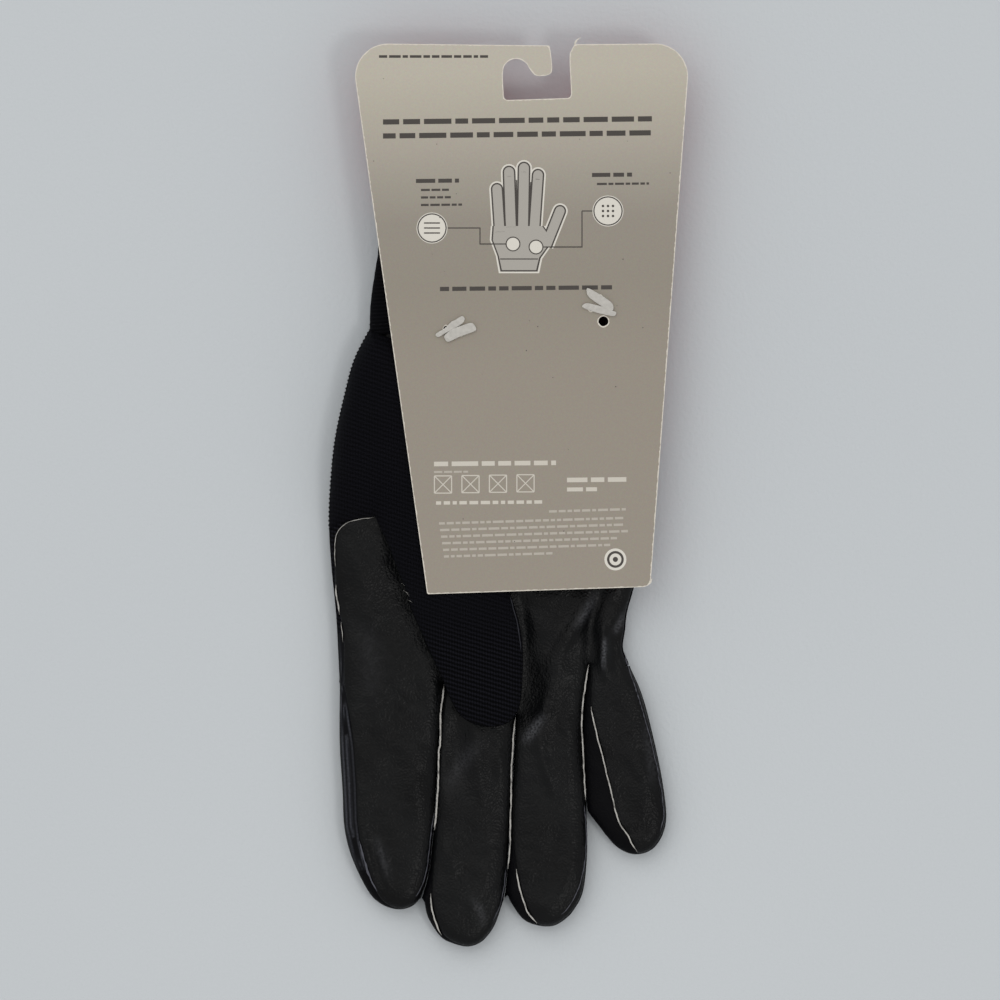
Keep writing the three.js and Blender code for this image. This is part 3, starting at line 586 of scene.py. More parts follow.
def stall_loop(finger):
    """The full outline of a stall, seen from the palm side, down from its start."""
    start = START[finger]
    if finger == "index":
        parts = [[(-53.8, start)], index_line[2:-1], slit_one[slit_one[:, 1] < start - 0.5]]
        parts.append([(-20.3, -60.3)])
    elif finger == "middle":
        parts = [[(-21.2, start)], slit_one[(slit_one[:, 1] < start - 0.5)][::-1], middle_line[1:-1],
                 slit_two[slit_two[:, 1] < start - 0.9], [(2.5, start)]]
    elif finger == "ring":
        parts = [[(3.0, start)], slit_two[(slit_two[:, 1] < start - 6)][::-1], ring_line[1:-1],
                 slit_three[slit_three[:, 1] < start - 0.5], [(24.4, start)]]
    else:
        parts = [[(26.0, start)], slit_three[(slit_three[:, 1] < start - 0.5)][::-1], little_line[1:-1],
                 [(38.9, start)]]
    loop = wound(even(np.vstack([np.asarray(part, float) for part in parts]), 0.8))
    return loop + into(loop) * np.where(loop[:, 1] < start - 0.6, 0.15, 0.0)[:, None]


def leather_loop(finger):
    start = START[finger]
    if finger == "index":
        return np.vstack([through(leather_left_index, 0.8), through(leather_lines[finger], 0.8),
                          [(-20.3, start)]])
    first = {"middle": -21.2, "ring": 3.0, "little": 26.1}[finger]
    last = {"middle": 2.55, "ring": 24.4, "little": 38.5}[finger]
    return np.vstack([[(first, start)], through(leather_lines[finger], 0.8), [(last, start)]])


def bend(piece, child):
    """Looks up the joint of a stall and bakes the piece's transform; it does not bend the piece."""
    joint = joints[child]
    place, axis = np.array(joint["pos_m"]), np.array(joint["axis"])
    on = np.array([-axis[1], axis[0], 0.0])
    on *= -1 if on[1] > 0 else 1
    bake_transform(piece)


def under_shell(places):
    """Just below the leather, where the gussets and the knit lie."""
    return palm_height(places) - GUSSET_STEP


def ribbed(name, first, second, pitch, depth, shine):
    """Ribbed knit: rows of loops, which stand out as far as the mark "raised" says, with painted highlight on
    their tops.
    """
    made, tree, surface = new_material(name, Roughness=0.85, Specular_IOR_Level=0.05, Sheen_Weight=shine,
                                       Sheen_Roughness=0.6, Sheen_Tint=(0.5, 0.52, 0.62, 1))
    across = node(tree, "ShaderNodeAttribute", {"attribute_name": "rib"}).outputs["Fac"]
    along = node(tree, "ShaderNodeAttribute", {"attribute_name": "wale"}).outputs["Fac"]
    places = node(tree, "ShaderNodeCombineXYZ", X=along, Y=across)
    wander = node(tree, "ShaderNodeTexNoise", Vector=places.outputs["Vector"], Scale=0.35, Detail=2.0)
    moved = node(tree, "ShaderNodeMath", {"operation": "MULTIPLY_ADD"}, i0=wander.outputs["Fac"], i1=0.5,
                 i2=across)
    turn = node(tree, "ShaderNodeMath", {"operation": "MULTIPLY"}, i0=moved.outputs["Value"],
                i1=2 * math.pi / pitch)
    rib = node(tree, "ShaderNodeMath", {"operation": "SINE"}, i0=turn.outputs["Value"])
    loop_turn = node(tree, "ShaderNodeMath", {"operation": "MULTIPLY"}, i0=along,
                     i1=2 * math.pi / (pitch * 0.62))
    loop = node(tree, "ShaderNodeMath", {"operation": "SINE"}, i0=loop_turn.outputs["Value"])
    loops = node(tree, "ShaderNodeMath", {"operation": "MULTIPLY_ADD"}, i0=loop.outputs["Value"], i1=0.55,
                 i2=rib.outputs["Value"])
    raised = node(tree, "ShaderNodeAttribute", {"attribute_name": "raised"}).outputs["Fac"]
    relief = node(tree, "ShaderNodeMath", {"operation": "MULTIPLY"}, i0=loops.outputs["Value"], i1=raised)
    fuzz = node(tree, "ShaderNodeTexNoise", Vector=places.outputs["Vector"], Scale=3.0, Detail=2.0)
    rough = node(tree, "ShaderNodeMath", {"operation": "MULTIPLY_ADD"}, i0=fuzz.outputs["Fac"], i1=0.6,
                 i2=relief.outputs["Value"])
    # Painted highlight and shade: the colour follows the ribs' relief, paler on their tops and darker between
    # them, over a random fuzz
    level = node(tree, "ShaderNodeMapRange", Value=rough.outputs["Value"], From_Min=0.2, From_Max=1.7)
    tinted(tree, surface, level.outputs["Result"], first, second)
    fine_relief(tree, surface, rough.outputs["Value"], 0.6, depth * MM)
    return made


RIB_PITCH, RIB_DEPTH, RIB_SLOPE = 1.42, 0.3, 0.3
# Polyester and elastane knit: quite matt, so that it drinks the light, with rows of loops 1.42 mm
# apart whose tops are painted a little paler than the rows between, as painted highlight
stretch_knit = ribbed("ribbed_stretch_knit", "#010102", "#32323d", RIB_PITCH, 0.4, 0.01)
KNIT_MARKS = {"rib": lambda places: places[:, 1] + RIB_SLOPE * places[:, 0],
              "wale": lambda places: places[:, 0], "raised": lambda places: np.full(len(places), 0.2)}
CAP_SHARE = 0.27

for finger in START:
    whole = stall_loop(finger)
    # Each stall's leather carries the painted crest highlights as a mark
    leather = panel(f"{finger}_leather", even(leather_loop(finger), 0.6), palm_height, LEATHER, palm_black,
                    spacing=0.62, joins=[JOINS[finger]], marks={"painted_crest_highlight": painted_crest_highlight})
    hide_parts(f"{finger}_palm_leather")
    gusset = panel(f"{finger}_gussets", whole, under_shell, KNIT, gusset_black, edge_drop=0.1,
                   joins=[JOINS[finger]])
    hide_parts(f"{finger}_inner_gusset", f"{finger}_outer_gusset")
    back = panel(f"{finger}_knit", whole, back_height, KNIT, stretch_knit, edge_drop=0.1, up=False,
                 marks=KNIT_MARKS, joins=[JOINS[finger]])
    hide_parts(f"{finger}_back_knit")
    low, high = whole[:, 1].min(), whole[:, 1].max()
    line = low + CAP_SHARE * (high - low)
    cap_loop = whole[whole[:, 1] < line]
    cap = panel(f"{finger}_cap", even(cap_loop, 0.8), back_height, LEATHER, palm_black, lift=0.45, up=False)
    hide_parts(f"{finger}_tip_cap")
    for piece in (leather, gusset, back, cap):
        bend(piece, finger)


# Sides and back of the hand
# Ribbed stretch knit in one piece round the back of the hand, from seam to seam. Its edges show
# as a narrow strip outside the palm leather, and a heel wedge of it is let in at the wrist.
slit_top = slit_one[(slit_one[:, 1] < START["index"] - 0.5) & (slit_one[:, 1] > START["middle"])]
hand_loop = np.vstack([
    left_line, [(-53.9, START["index"]), (-20.3, START["index"])], slit_top[::-1],
    [(-21.3, START["middle"]), (2.55, START["middle"]), (2.95, START["ring"]), (24.4, START["ring"]),
     (25.9, START["little"]), (38.8, START["little"])], right_line])
hand_sides = panel("hand_side_strips", even(hand_loop, 0.9), under_shell, KNIT, stretch_knit, edge_drop=0.1,
                   marks=KNIT_MARKS, joins=JOINS.values())
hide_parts("index_side_panel", "little_side_panel")
hand_knit = panel("hand_back_knit", even(hand_loop, 0.9), back_height, KNIT, stretch_knit, edge_drop=0.1,
                  up=False, marks=KNIT_MARKS, joins=JOINS.values())
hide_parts("back_knit")
WEDGE = [(-30, 55.0), (-7, 22.9), (16, 57.3)]
heel_wedge = panel("heel_wedge_knit", even(np.array(WEDGE, float), 0.9), palm_height, KNIT, stretch_knit,
                   lift=0.05, marks=KNIT_MARKS)
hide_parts("heel_wedge")
for piece in (hand_sides, hand_knit, heel_wedge):
    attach(piece, "hand")


# Thumb
# Folded over the palm along the glove's index side, knit side up: a flat stuffed tube of knit and
# leather with a gusset down each edge. Its tip is free and can be lifted off the palm.
THUMB_TOP, THUMB_FLOOR_GAP = 16.6, 0.4
THUMB_REACH, THUMB_BEND = 9.5, 5
FREE_EDGE_RISE, CROTCH_LEVEL = 7.6, 8.6
fold_line = left_line[(left_line[:, 1] > -11.5)]
crotch_line = np.array([(-57.1, -11.2), (-53, -9.6), (-49.6, -8.1), (-46, -7.3), (-42.4, -6.9)])
thumb_edge = through([(-42.4, -6.9), (-39.8, -12.4), (-37.0, -19.2), (-34.2, -26.5), (-32.2, -31.4),
                      (-31.2, -35.6), (-29.2, -40.3), (-25.3, -49.2), (-21.2, -58), (-18.3, -65.2),
                      (-14.6, -70.9), (-9.3, -73.5), (-3.4, -73.9), (1.2, -71.9), (3.9, -67),
                      (4.7, -59), (4.9, -52), (4.6, -46), (3.4, -39.4), (1.4, -33),
                      (-2.8, -19.2), (-6.6, -3.4), (-11.2, 12.2), (-16.7, 28.8), (-24.5, 42.7), (-34.3, 49),
                      (-43.9, 53.2)], 0.9)
thumb_loop = wound(even(np.vstack([fold_line, crotch_line, thumb_edge[1:-1]]), 0.8))


def thumb_middle(places):
    """The level of the thumb's own seams: low at the fold and the crotch, high at its free edge."""
    fold = distance(places, fold_line)
    crotch = distance(places, crotch_line)
    free = HAND_MIDDLE + FREE_EDGE_RISE * (1 - np.exp(-((fold / 10) ** 1.6)))
    return np.minimum(free, CROTCH_LEVEL + crotch * 0.3 - np.clip(4 - fold, 0, 4) * 0.9)


def thumb_depth(places):
    return edge_distance(places, [thumb_loop])


thumb_folds = [(through(line, 1.5), width, height) for line, width, height in [
    ([(-50, 12), (-44, 0), (-39, -14), (-33, -28)], 3.2, 1.1),
    ([(-40, 8), (-34, -8), (-28, -24)], 3.0, -0.9),
    ([(-22, -22), (-16, -36), (-12, -50)], 4.0, 0.5),
    ([(-6, -30), (-4, -42), (-1, -52)], 2.6, -0.5),
    ([(-52, 30), (-44, 24), (-32, 22)], 4.0, 0.6),
]]


def thumb_top(places):
    rise = pillow(thumb_depth(places), THUMB_REACH)
    middle = thumb_middle(places)
    folds = sum(height * stroke(places, line, width) for line, width, height in thumb_folds)
    crotch = np.clip(distance(places, crotch_line) / 16, 0, 1)
    top = middle + (THUMB_TOP - middle) * rise * (0.35 + 0.65 * crotch)
    return top + folds * rise


def thumb_low(places):
    middle = thumb_middle(places)
    floor = palm_height(places) + THUMB_FLOOR_GAP
    return middle - np.clip(middle - floor, 0.0, 9) * pillow(thumb_depth(places), 5.0)


# Ribs run down to the free edge, a little more steeply beside the crotch, and stand out at the tip
ridge = np.array([(-54, 48), (-51, 32), (-48, 16), (-42.4, -6.9), (-35.8, -22), (-30.2, -37.2), (-25.3, -49),
                  (-20, -60), (-16, -75)])


def thumb_ribs(places):
    x, y = places.T
    past = np.clip(x - np.interp(-y, -ridge[:, 1], ridge[:, 0]), 0, 60)
    steep = np.clip((y + 56) / 22, 0, 1) * np.clip((50 - y) / 16, 0, 1)
    return y + RIB_SLOPE * x + steep * 0.1 * 9 * (1 - np.exp(-past / 9))


def finished(piece, tree, settings):
    """Runs a node tree on a piece and keeps its result as the piece's own plain mesh."""
    modifier = piece.modifiers.new("nodes", "NODES")
    modifier.node_group = tree
    for item in tree.interface.items_tree:
        if item.item_type == "SOCKET" and item.in_out == "INPUT" and item.name in settings:
            modifier[item.identifier] = settings[item.name]
    evaluated = piece.evaluated_get(bpy.context.evaluated_depsgraph_get())
    mesh = bpy.data.meshes.new_from_object(evaluated)
    piece.modifiers.clear()
    piece.data = mesh
    return piece


def new_tree(name, sizes):
    """A geometry node tree with a mesh in, a mesh out, and a named input for each size."""
    tree = bpy.data.node_groups.new(name, "GeometryNodeTree")
    tree.interface.new_socket("Mesh", in_out="INPUT", socket_type="NodeSocketGeometry")
    for size in sizes:
        kind = "NodeSocketMaterial" if size == "Thread" else "NodeSocketFloat"
        tree.interface.new_socket(size, in_out="INPUT", socket_type=kind)
    tree.interface.new_socket("Mesh", in_out="OUTPUT", socket_type="NodeSocketGeometry")
    return tree, node(tree, "NodeGroupInput").outputs, node(tree, "NodeGroupOutput").inputs


def rib_tree():
    """Raises the cloth in even ribs, along its mark "rib", which counts millimetres across them."""
    tree, given, result = new_tree("knit_ribs", ("Pitch", "Depth"))
    across = node(tree, "GeometryNodeInputNamedAttribute", {"data_type": "FLOAT"},
                  Name="rib").outputs["Attribute"]
    turns = node(tree, "ShaderNodeMath", {"operation": "DIVIDE"}, i0=across, i1=given["Pitch"])
    angle = node(tree, "ShaderNodeMath", {"operation": "MULTIPLY"}, i0=turns.outputs["Value"], i1=2 * math.pi)
    wave = node(tree, "ShaderNodeMath", {"operation": "SINE"}, i0=angle.outputs["Value"])
    raised = node(tree, "GeometryNodeInputNamedAttribute", {"data_type": "FLOAT"},
                  Name="raised").outputs["Attribute"]
    depth = node(tree, "ShaderNodeMath", {"operation": "MULTIPLY"}, i0=raised, i1=given["Depth"])
    rise = node(tree, "ShaderNodeMath", {"operation": "MULTIPLY"}, i0=wave.outputs["Value"],
                i1=depth.outputs["Value"])
    normal = node(tree, "GeometryNodeInputNormal").outputs["Normal"]
    offset = node(tree, "ShaderNodeVectorMath", {"operation": "SCALE"}, i0=normal,
                  Scale=rise.outputs["Value"])
    moved = node(tree, "GeometryNodeSetPosition", Geometry=given["Mesh"], Offset=offset.outputs["Vector"])
    tree.links.new(moved.outputs["Geometry"], result[0])
    return tree


knit_ribs = rib_tree()
THUMB_MARKS = {"rib": thumb_ribs, "wale": lambda places: places[:, 0],
               "raised": lambda places: 0.05 + 0.11 * np.clip((-38 - places[:, 1]) / 12, 0, 1)}
thumb_fine = even(thumb_loop, 0.25)
on_fold = distance(thumb_fine, fold_line) < 0.3
thumb_fine[on_fold, 0] -= 0.1 + 0.2 * np.sin(2 * math.pi * thumb_ribs(thumb_fine[on_fold]) / RIB_PITCH)
thumb_knit = panel("thumb_knit", thumb_fine, thumb_top, KNIT, stretch_knit, edge_drop=0.1, spacing=0.4,
                   marks=THUMB_MARKS)
finished(thumb_knit, knit_ribs, {"Pitch": RIB_PITCH, "Depth": RIB_DEPTH * MM})
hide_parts("thumb_base_knit", "thumb_tip_knit", "thumb_base_crotch_gusset",
            "thumb_tip_crotch_gusset")
free_loop = thumb_loop[(distance(thumb_loop, fold_line) > 8) & (distance(thumb_loop, crotch_line) > 5)]
thumb_leather = panel("thumb_leather", even(free_loop, 0.9), thumb_low, LEATHER, palm_black, edge_drop=0.1,
                      up=False)
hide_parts("thumb_base_leather", "thumb_tip_leather", "thumb_base_wrist_gusset",
            "thumb_tip_wrist_gusset")
for piece in (thumb_knit, thumb_leather):
    bend(piece, "thumb_tip")


# Patch on the back of the hand
# A plain moulded rubber patch, cemented and stitched to the knit, with a rounded end towards the
# thumb side. It carries no mark.
# Moulded synthetic rubber: an even charcoal with a soft sheen, and the fine grain of its mould
moulded, moulded_tree, moulded_surface = new_material("moulded_rubber", Roughness=0.48)
grain = node(moulded_tree, "ShaderNodeTexNoise", Vector=in_millimetres(moulded_tree), Scale=4.0, Detail=2.0)
tinted(moulded_tree, moulded_surface, grain.outputs["Fac"], "#111214", "#191a1c")
fine_relief(moulded_tree, moulded_surface, grain.outputs["Fac"], 0.25, 0.0001)


ARC_STEP = 0.8


def rounded(corners):
    """A closed outline through corners, each with its own radius."""
    points, count = [], len(corners)
    for i, (x, y, radius) in enumerate(corners):
        here = np.array([x, y], float)
        before = np.array(corners[i - 1][:2], float) - here
        after = np.array(corners[(i + 1) % count][:2], float) - here
        before /= np.linalg.norm(before)
        after /= np.linalg.norm(after)
        half = math.acos(float(np.clip(before @ after, -1, 1))) / 2
        if radius <= 0:
            points.append(here)
            continue
        run = radius / math.tan(half)
        middle = here + (before + after) / np.linalg.norm(before + after) * radius / math.sin(half)
        start, end = here + before * run - middle, here + after * run - middle
        first, last = math.atan2(start[1], start[0]), math.atan2(end[1], end[0])
        turn = (last - first + math.pi) % (2 * math.pi) - math.pi
        for t in np.linspace(0, 1, max(int(abs(turn) * radius / ARC_STEP), 4)):
            angle = first + turn * t
            points.append(middle + radius * np.array([math.cos(angle), math.sin(angle)]))
    return np.array(points)


SLAB_SPACING, SLAB_RIM = 2.5, 0.15


def slab(name, loop, low, high, material):
    """A flat plate of sheet, whose upper and lower edges are eased."""
    loop = wound(np.asarray(loop, float))
    places, faces = triangles_of(loop, (), SLAB_SPACING, (SLAB_RIM,))
    ease = np.clip(SLAB_RIM - edge_distance(places, [loop]), 0, SLAB_RIM) * 0.7
    points = np.vstack([np.column_stack([places, high - ease]), np.column_stack([places, low + ease])])
    return mesh_object(name, points, two_skins(faces, len(places)), material, np.vstack([places, places]), 40)


patch = slab("back_patch_rubber", rounded([(-21, 27.3, 11), (-21, -20.7, 11), (41, -5.7, 4), (41, 27.3, 4)]),
             0.1, 0.8, moulded)
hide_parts("back_patch")
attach(patch, "hand")


# Cuff
# Two bands of woven elastic, back and palm side, gathered a little where they are stretched and
# sewn on at the wrist seam. A narrow binding folds over their raw edge at the mouth.
CUFF_PLANE, CUFF_TOP, MOUTH_Y = 3.0, 11.3, 91.9
CUFF_MIDDLE, CUFF_WIDTH = -4.2, 75.2
CUFF_LENGTH, CUFF_ROUND, CUFF_RAISED = 38.6, 40, 0.35
# Woven elastic: covered rubber yarns in close rows 1.2 mm apart, firmer and a little duller than the knit
elastic_web = ribbed("woven_elastic", "#040406", "#1a1a1e", 1.2, 0.15, 0.02)


def cuff_row(share):
    """The two ends of a row of the cuff, from the wrist seam at 0 to its mouth at 1."""
    low = np.array(wrist_left) * (1 - share) + np.array([CUFF_MIDDLE - CUFF_WIDTH / 2, MOUTH_Y]) * share
    low[0] += 0.7 * min(max((share - 0.33) / 0.2, 0), 1) + 0.4 * min(max((share - 0.52) / 0.1, 0), 1)
    low[0] -= 0.3 * math.exp(-(((share - 0.17) / 0.12) ** 2))
    high = np.array(wrist_right) * (1 - share) + np.array([CUFF_MIDDLE + CUFF_WIDTH / 2, MOUTH_Y]) * share
    return low, high


def oval(angle, across, up):
    turns = np.array([np.cos(angle), np.sin(angle)])
    return (across, up) * np.sign(turns) * np.abs(turns) ** 0.5


def on_cuff(share, angle, spread, ripple=0.0):
    """A place round the cuff, a little outside or inside its middle skin."""
    low, high = cuff_row(share)
    centre, half = (low + high) / 2, np.linalg.norm(high - low) / 2
    side = (high - low) / 2 / half
    x, z = oval(angle, half + spread - ripple * 0.4, (CUFF_TOP - CUFF_PLANE) / 2 + spread - ripple * 0.6)
    return (*(centre + side * x), (CUFF_PLANE + CUFF_TOP) / 2 + z)


def band(name, first, last, from_share, to_share, spread, thickness, material, rows=44, count=120,
         gather=0.25):
    """Part of a flattened tube round the cuff, as a sheet of the given thickness."""
    outer, inner, marks = [], [], []
    for share in np.linspace(from_share, to_share, rows + 1):
        ripple = gather * abs(math.sin(share * 34) * math.sin(math.pi * min(max(share, 0), 1)))
        for angle in np.linspace(first, last, count + 1):
            outer.append(on_cuff(share, angle, spread, ripple))
            inner.append(on_cuff(share, angle, spread - thickness, ripple))
            marks.append((share * CUFF_LENGTH, (angle - first) * CUFF_ROUND))
    width = count + 1
    faces = []
    offset = len(outer)
    for i in range(rows):
        for j in range(count):
            a, b, c, d = i * width + j, i * width + j + 1, (i + 1) * width + j + 1, (i + 1) * width + j
            faces += [(a, b, c, d), (d + offset, c + offset, b + offset, a + offset)]
    ring = [i * width for i in range(rows + 1)]
    far = [i * width + count for i in range(rows + 1)]
    near_row, last_row = list(range(width)), list(range(rows * width, rows * width + width))
    for a, b in zip(ring[1:], ring):
        faces.append((b, a, a + offset, b + offset))
    for a, b in zip(far, far[1:]):
        faces.append((a + offset, b + offset, b, a))
    for a, b in zip(near_row, near_row[1:]):
        faces.append((b, a, a + offset, b + offset))
    for a, b in zip(last_row, last_row[1:]):
        faces.append((a, b, b + offset, a + offset))
    marks = np.array(marks + marks)
    return mesh_object(name, np.array(outer + inner), faces, material, marks[:, ::-1], 60, rib=marks[:, 0],
                       wale=marks[:, 1], raised=np.full(len(marks), CUFF_RAISED))


def face_outwards(piece):
    """Closed shells turned so that every face points out of the cloth."""
    work = bmesh.new()
    work.from_mesh(piece.data)
    bmesh.ops.recalc_face_normals(work, faces=work.faces)
    work.to_mesh(piece.data)
    work.free()


cuff_palm = band("cuff_palm_elastic", 0.0, math.pi, -0.05, 1.0, 0.0, 1.1, elastic_web)
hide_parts("cuff_palm_band")
cuff_back = band("cuff_back_elastic", math.pi, 2 * math.pi, -0.05, 1.0, 0.0, 1.1, elastic_web)
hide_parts("cuff_back_band")
binding = band("cuff_edge_binding", 0.0, 2 * math.pi, 0.865, 1.018, 0.8, 0.5, elastic_web, rows=10, count=200,
               gather=0)
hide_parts("cuff_binding")
for piece in (cuff_palm, cuff_back, binding):
    face_outwards(piece)
    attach(piece, "hand")


# Wrist closure
# A moulded tab with a rounded end, sewn down on the back of the cuff at its little-finger end,
# with a hook pad on its inner side that grips a loop pad on the cuff.
# Hook and loop tape: nylon pile that scatters light, so that it looks dusty beside the rubber.
# Its real rows are finer, and are drawn 0.7 mm apart to show.
hook_weave = ribbed("hook_and_loop_pile", "#070709", "#17181c", 0.7, 0.2, 0.1)
tab = slab("closure_tab_rubber", rounded([(-11.2, 82.9, 10.8), (-11.2, 58.9, 10.8), (32.8, 58.9, 0),
                                          (32.8, 82.9, 0)]), 0.1, 0.9, moulded)
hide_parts("closure_tab")
hook = slab("hook_pad_pile", rounded([(-6.2, 62.4, 3), (19.8, 62.4, 3), (19.8, 79.4, 3), (-6.2, 79.4, 3)]),
            1.2, 1.8, hook_weave)
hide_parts("hook_pad")
loops = slab("loop_pad_pile", rounded([(-10.2, 60.4, 3), (23.8, 60.4, 3), (23.8, 81.4, 3), (-10.2, 81.4, 3)]),
             2.1, 2.7, hook_weave)
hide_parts("loop_pad")
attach(tab, "closure_tab")
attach(hook, "closure_tab")
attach(loops, "hand")


# Hang card
# A keystone of grey-brown printed board, cut with a hook slot for a peg. Its core shows white at
# the cut edges and where they are worn, and its other face, which lies on the glove, is red.
CARD_TOP, CARD_THICKNESS = 17.8, 0.8
CARD_PLACE, CARD_TURN = (9.9, -30.4), math.radians(1.9)
CARD_HALF, CARD_HEIGHT = 54.4, 176.9


def on_card(points):
    """Places on the card, measured from the middle of its bottom edge, on the table's axes."""
    x, y = np.asarray(points, float).T
    cos, sin = math.cos(CARD_TURN), math.sin(CARD_TURN)
    return np.stack([CARD_PLACE[0] + cos * x - sin * y, CARD_PLACE[1] + sin * x + cos * y], 1)


def top_edge(x):
    return CARD_HEIGHT - 3.6 * (x + CARD_HALF) / (2 * CARD_HALF)


def circle(x, y, radius, count=24):
    angles = np.linspace(0, 2 * math.pi, count, endpoint=False)
    return np.stack([x + radius * np.cos(angles), y + radius * np.sin(angles)], 1)


hook_curve = through([(-5.9, 159.5), (-5.9, 166.2), (-4.6, 169.1), (-1.6, 170.3), (1.4, 169), (3.0, 166.4),
                      (4.7, 164.7), (7.6, 164.6), (9.3, 165.2), (9.9, 166.6), (9.7, 171),
                      (9.3, top_edge(9.3) - 0.6)], 0.5)
mouth_flare = through([(15.7, 159.5), (15.6, 170), (16.3, 172.6), (17.4, top_edge(17.4) - 0.2)], 0.5)
card_outline = np.vstack([
    rounded([(-35.8, 0, 0.3), (35.8, 0, 2.4), (CARD_HALF, top_edge(CARD_HALF), 10.5),
             (17.4, top_edge(17.4), 0)])[:-1],
    mouth_flare[::-1], rounded([(15.7, 165, 0), (15.7, 157.2, 1.2), (-5.9, 157.2, 1.2),
                                (-5.9, 165, 0)])[1:-1],
    hook_curve, rounded([(9.3, top_edge(9.3), 0), (-CARD_HALF, top_edge(-CARD_HALF), 10.5),
                         (-35.8, 0, 0)])[1:-1],
])
PUNCH, PUNCH_RADIUS, PIN_HOLE_RADIUS = (23.6, 85.4), 1.6, 0.85
pin_places = [(-19.70, 53.46), (-15.24, 51.81), (29.40, 63.30), (26.82, 59.81)]
turn_back = np.array([[math.cos(CARD_TURN), math.sin(CARD_TURN)],
                      [-math.sin(CARD_TURN), math.cos(CARD_TURN)]])
pin_on_card = [turn_back @ (np.array(place) - CARD_PLACE) for place in pin_places]

# Printed board: an ink coat of warm grey brown, painted paler towards the top end as a painted sheen, with
# a satin face in which the fibres are just felt, and a white core that shows where its edge is scuffed
board, board_tree, board_surface = new_material("printed_board", Roughness=0.62, Specular_IOR_Level=0.3)
card_mm = in_millimetres(board_tree)
card_xyz = node(board_tree, "ShaderNodeSeparateXYZ", Vector=card_mm)
# Painted sheen: this ramp makes the board paler towards its top end, where the window's light falls on its
# satin face
fade = node(board_tree, "ShaderNodeValToRGB")
painted_sheen_share = node(board_tree, "ShaderNodeMapRange", Value=card_xyz.outputs["Y"], From_Max=CARD_HEIGHT)
board_tree.links.new(painted_sheen_share.outputs["Result"], fade.inputs["Fac"])
stops = [(0.0, "#968e83"), (0.4, "#958d82"), (0.56, "#918a7f"), (0.67, "#938c82"), (0.745, "#9e988d"),
         (0.8, "#a8a196"), (0.88, "#b2ac9f"), (0.94, "#b9b3a6"), (1.0, "#bab4a8")]
fade.color_ramp.elements[0].color = linear(stops[0][1])
fade.color_ramp.elements[1].color = linear(stops[-1][1])
for share, code in stops[1:-1]:
    fade.color_ramp.elements.new(share).color = linear(code)
fibre = node(board_tree, "ShaderNodeTexNoise", Vector=card_mm, Scale=1.6, Detail=3.0, Roughness=0.7)
paper_and_painted_sheen = node(board_tree, "ShaderNodeMix", {"data_type": "RGBA", "blend_type": "OVERLAY"}, Factor=0.14,
             A=fade.outputs["Color"], B=fibre.outputs["Color"])
wear = node(board_tree, "ShaderNodeAttribute", {"attribute_name": "edge"}).outputs["Fac"]
wear_noise = node(board_tree, "ShaderNodeTexNoise", Vector=card_mm, Scale=0.7, Detail=3.0)
worn_edge = node(board_tree, "ShaderNodeMath", {"operation": "MULTIPLY_ADD"}, i0=wear_noise.outputs["Fac"],
                 i1=-0.75, i2=wear)
worn_share = node(board_tree, "ShaderNodeMapRange", Value=worn_edge.outputs["Value"], From_Min=-0.16,
                  From_Max=-0.04)
core_mix = node(board_tree, "ShaderNodeMix", {"data_type": "RGBA"}, Factor=worn_share.outputs["Result"],
                A=linear("#d6d0c5"), B=paper_and_painted_sheen.outputs["Result"])
board_tree.links.new(core_mix.outputs["Result"], board_surface.inputs["Base Color"])
fine_relief(board_tree, board_surface, fibre.outputs["Fac"], 0.3, 0.0001)

# Cut board: bleached pulp, chalky and unevenly white
core, core_tree, core_surface = new_material("cut_board_core", Roughness=0.9)
pulp = node(core_tree, "ShaderNodeTexNoise", Vector=in_millimetres(core_tree), Scale=2.5, Detail=3.0)
tinted(core_tree, core_surface, pulp.outputs["Fac"], "#c9c3b8", "#e0dbd0")
# Flood coat on the lower face: a full red with a smooth low gloss, which tints what lies close to it
ink, ink_tree, ink_surface = new_material("red_ink_on_board", Roughness=0.45)
ink_noise = node(ink_tree, "ShaderNodeTexNoise", Vector=in_millimetres(ink_tree), Scale=0.4, Detail=2.0)
tinted(ink_tree, ink_surface, ink_noise.outputs["Fac"], "#cc2028", "#dc282e")


def card_level(places):
    """The card's upper face: a stiff board, bowed up very slightly towards its top end."""
    share = np.clip((places[:, 1] - 40) / (CARD_HEIGHT - 40), 0, 1)
    return CARD_TOP + 0.9 * share**2


card_loop = wound(card_outline)
card_holes = [wound(circle(*PUNCH, PUNCH_RADIUS)),
              *[wound(circle(*place, PIN_HOLE_RADIUS, 12)) for place in pin_on_card]]
card_flat, card_faces = triangles_of(even(card_loop, 0.6), card_holes, 3.5, (0.3, 0.8))
card_edge = edge_distance(card_flat, [card_loop, *card_holes])
card_xy = on_card(card_flat)
level = card_level(card_flat)
card_points = np.vstack([np.column_stack([card_xy, level]),
                         np.column_stack([card_xy, level - CARD_THICKNESS])])
card = mesh_object("keystone_card", card_points, two_skins(card_faces, len(card_flat)), board,
                   np.vstack([card_flat, card_flat]), 40, edge=np.tile(np.clip(card_edge, 0, 3), 2))
card.data.materials.append(core)
card.data.materials.append(ink)
for face in card.data.polygons:
    face.material_index = 0 if face.normal.z > 0.5 else 2 if face.normal.z < -0.5 else 1
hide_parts("hang_card")
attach(card, "hang_card")


# Print on the card
# Generic print: rows of plain bars where a card has its lines, four crossed boxes, and a drawing
# of a plain glove with two rings. The ink is screened on, and lies on the board as a thin skin.
INK, INK_LAYER, INK_STEP, INK_SUNK = 0.02, 0.015, 0.0012, 0.01
ink_shapes = {"dark": [], "pale": [], "faint": [], "white": [], "grey": []}
ink_colours = {"dark": "#37312d", "pale": "#cdc7bc", "faint": "#b5aea3", "white": "#ddd9cf",
               "grey": "#a9a59d"}
layer_step = [0]


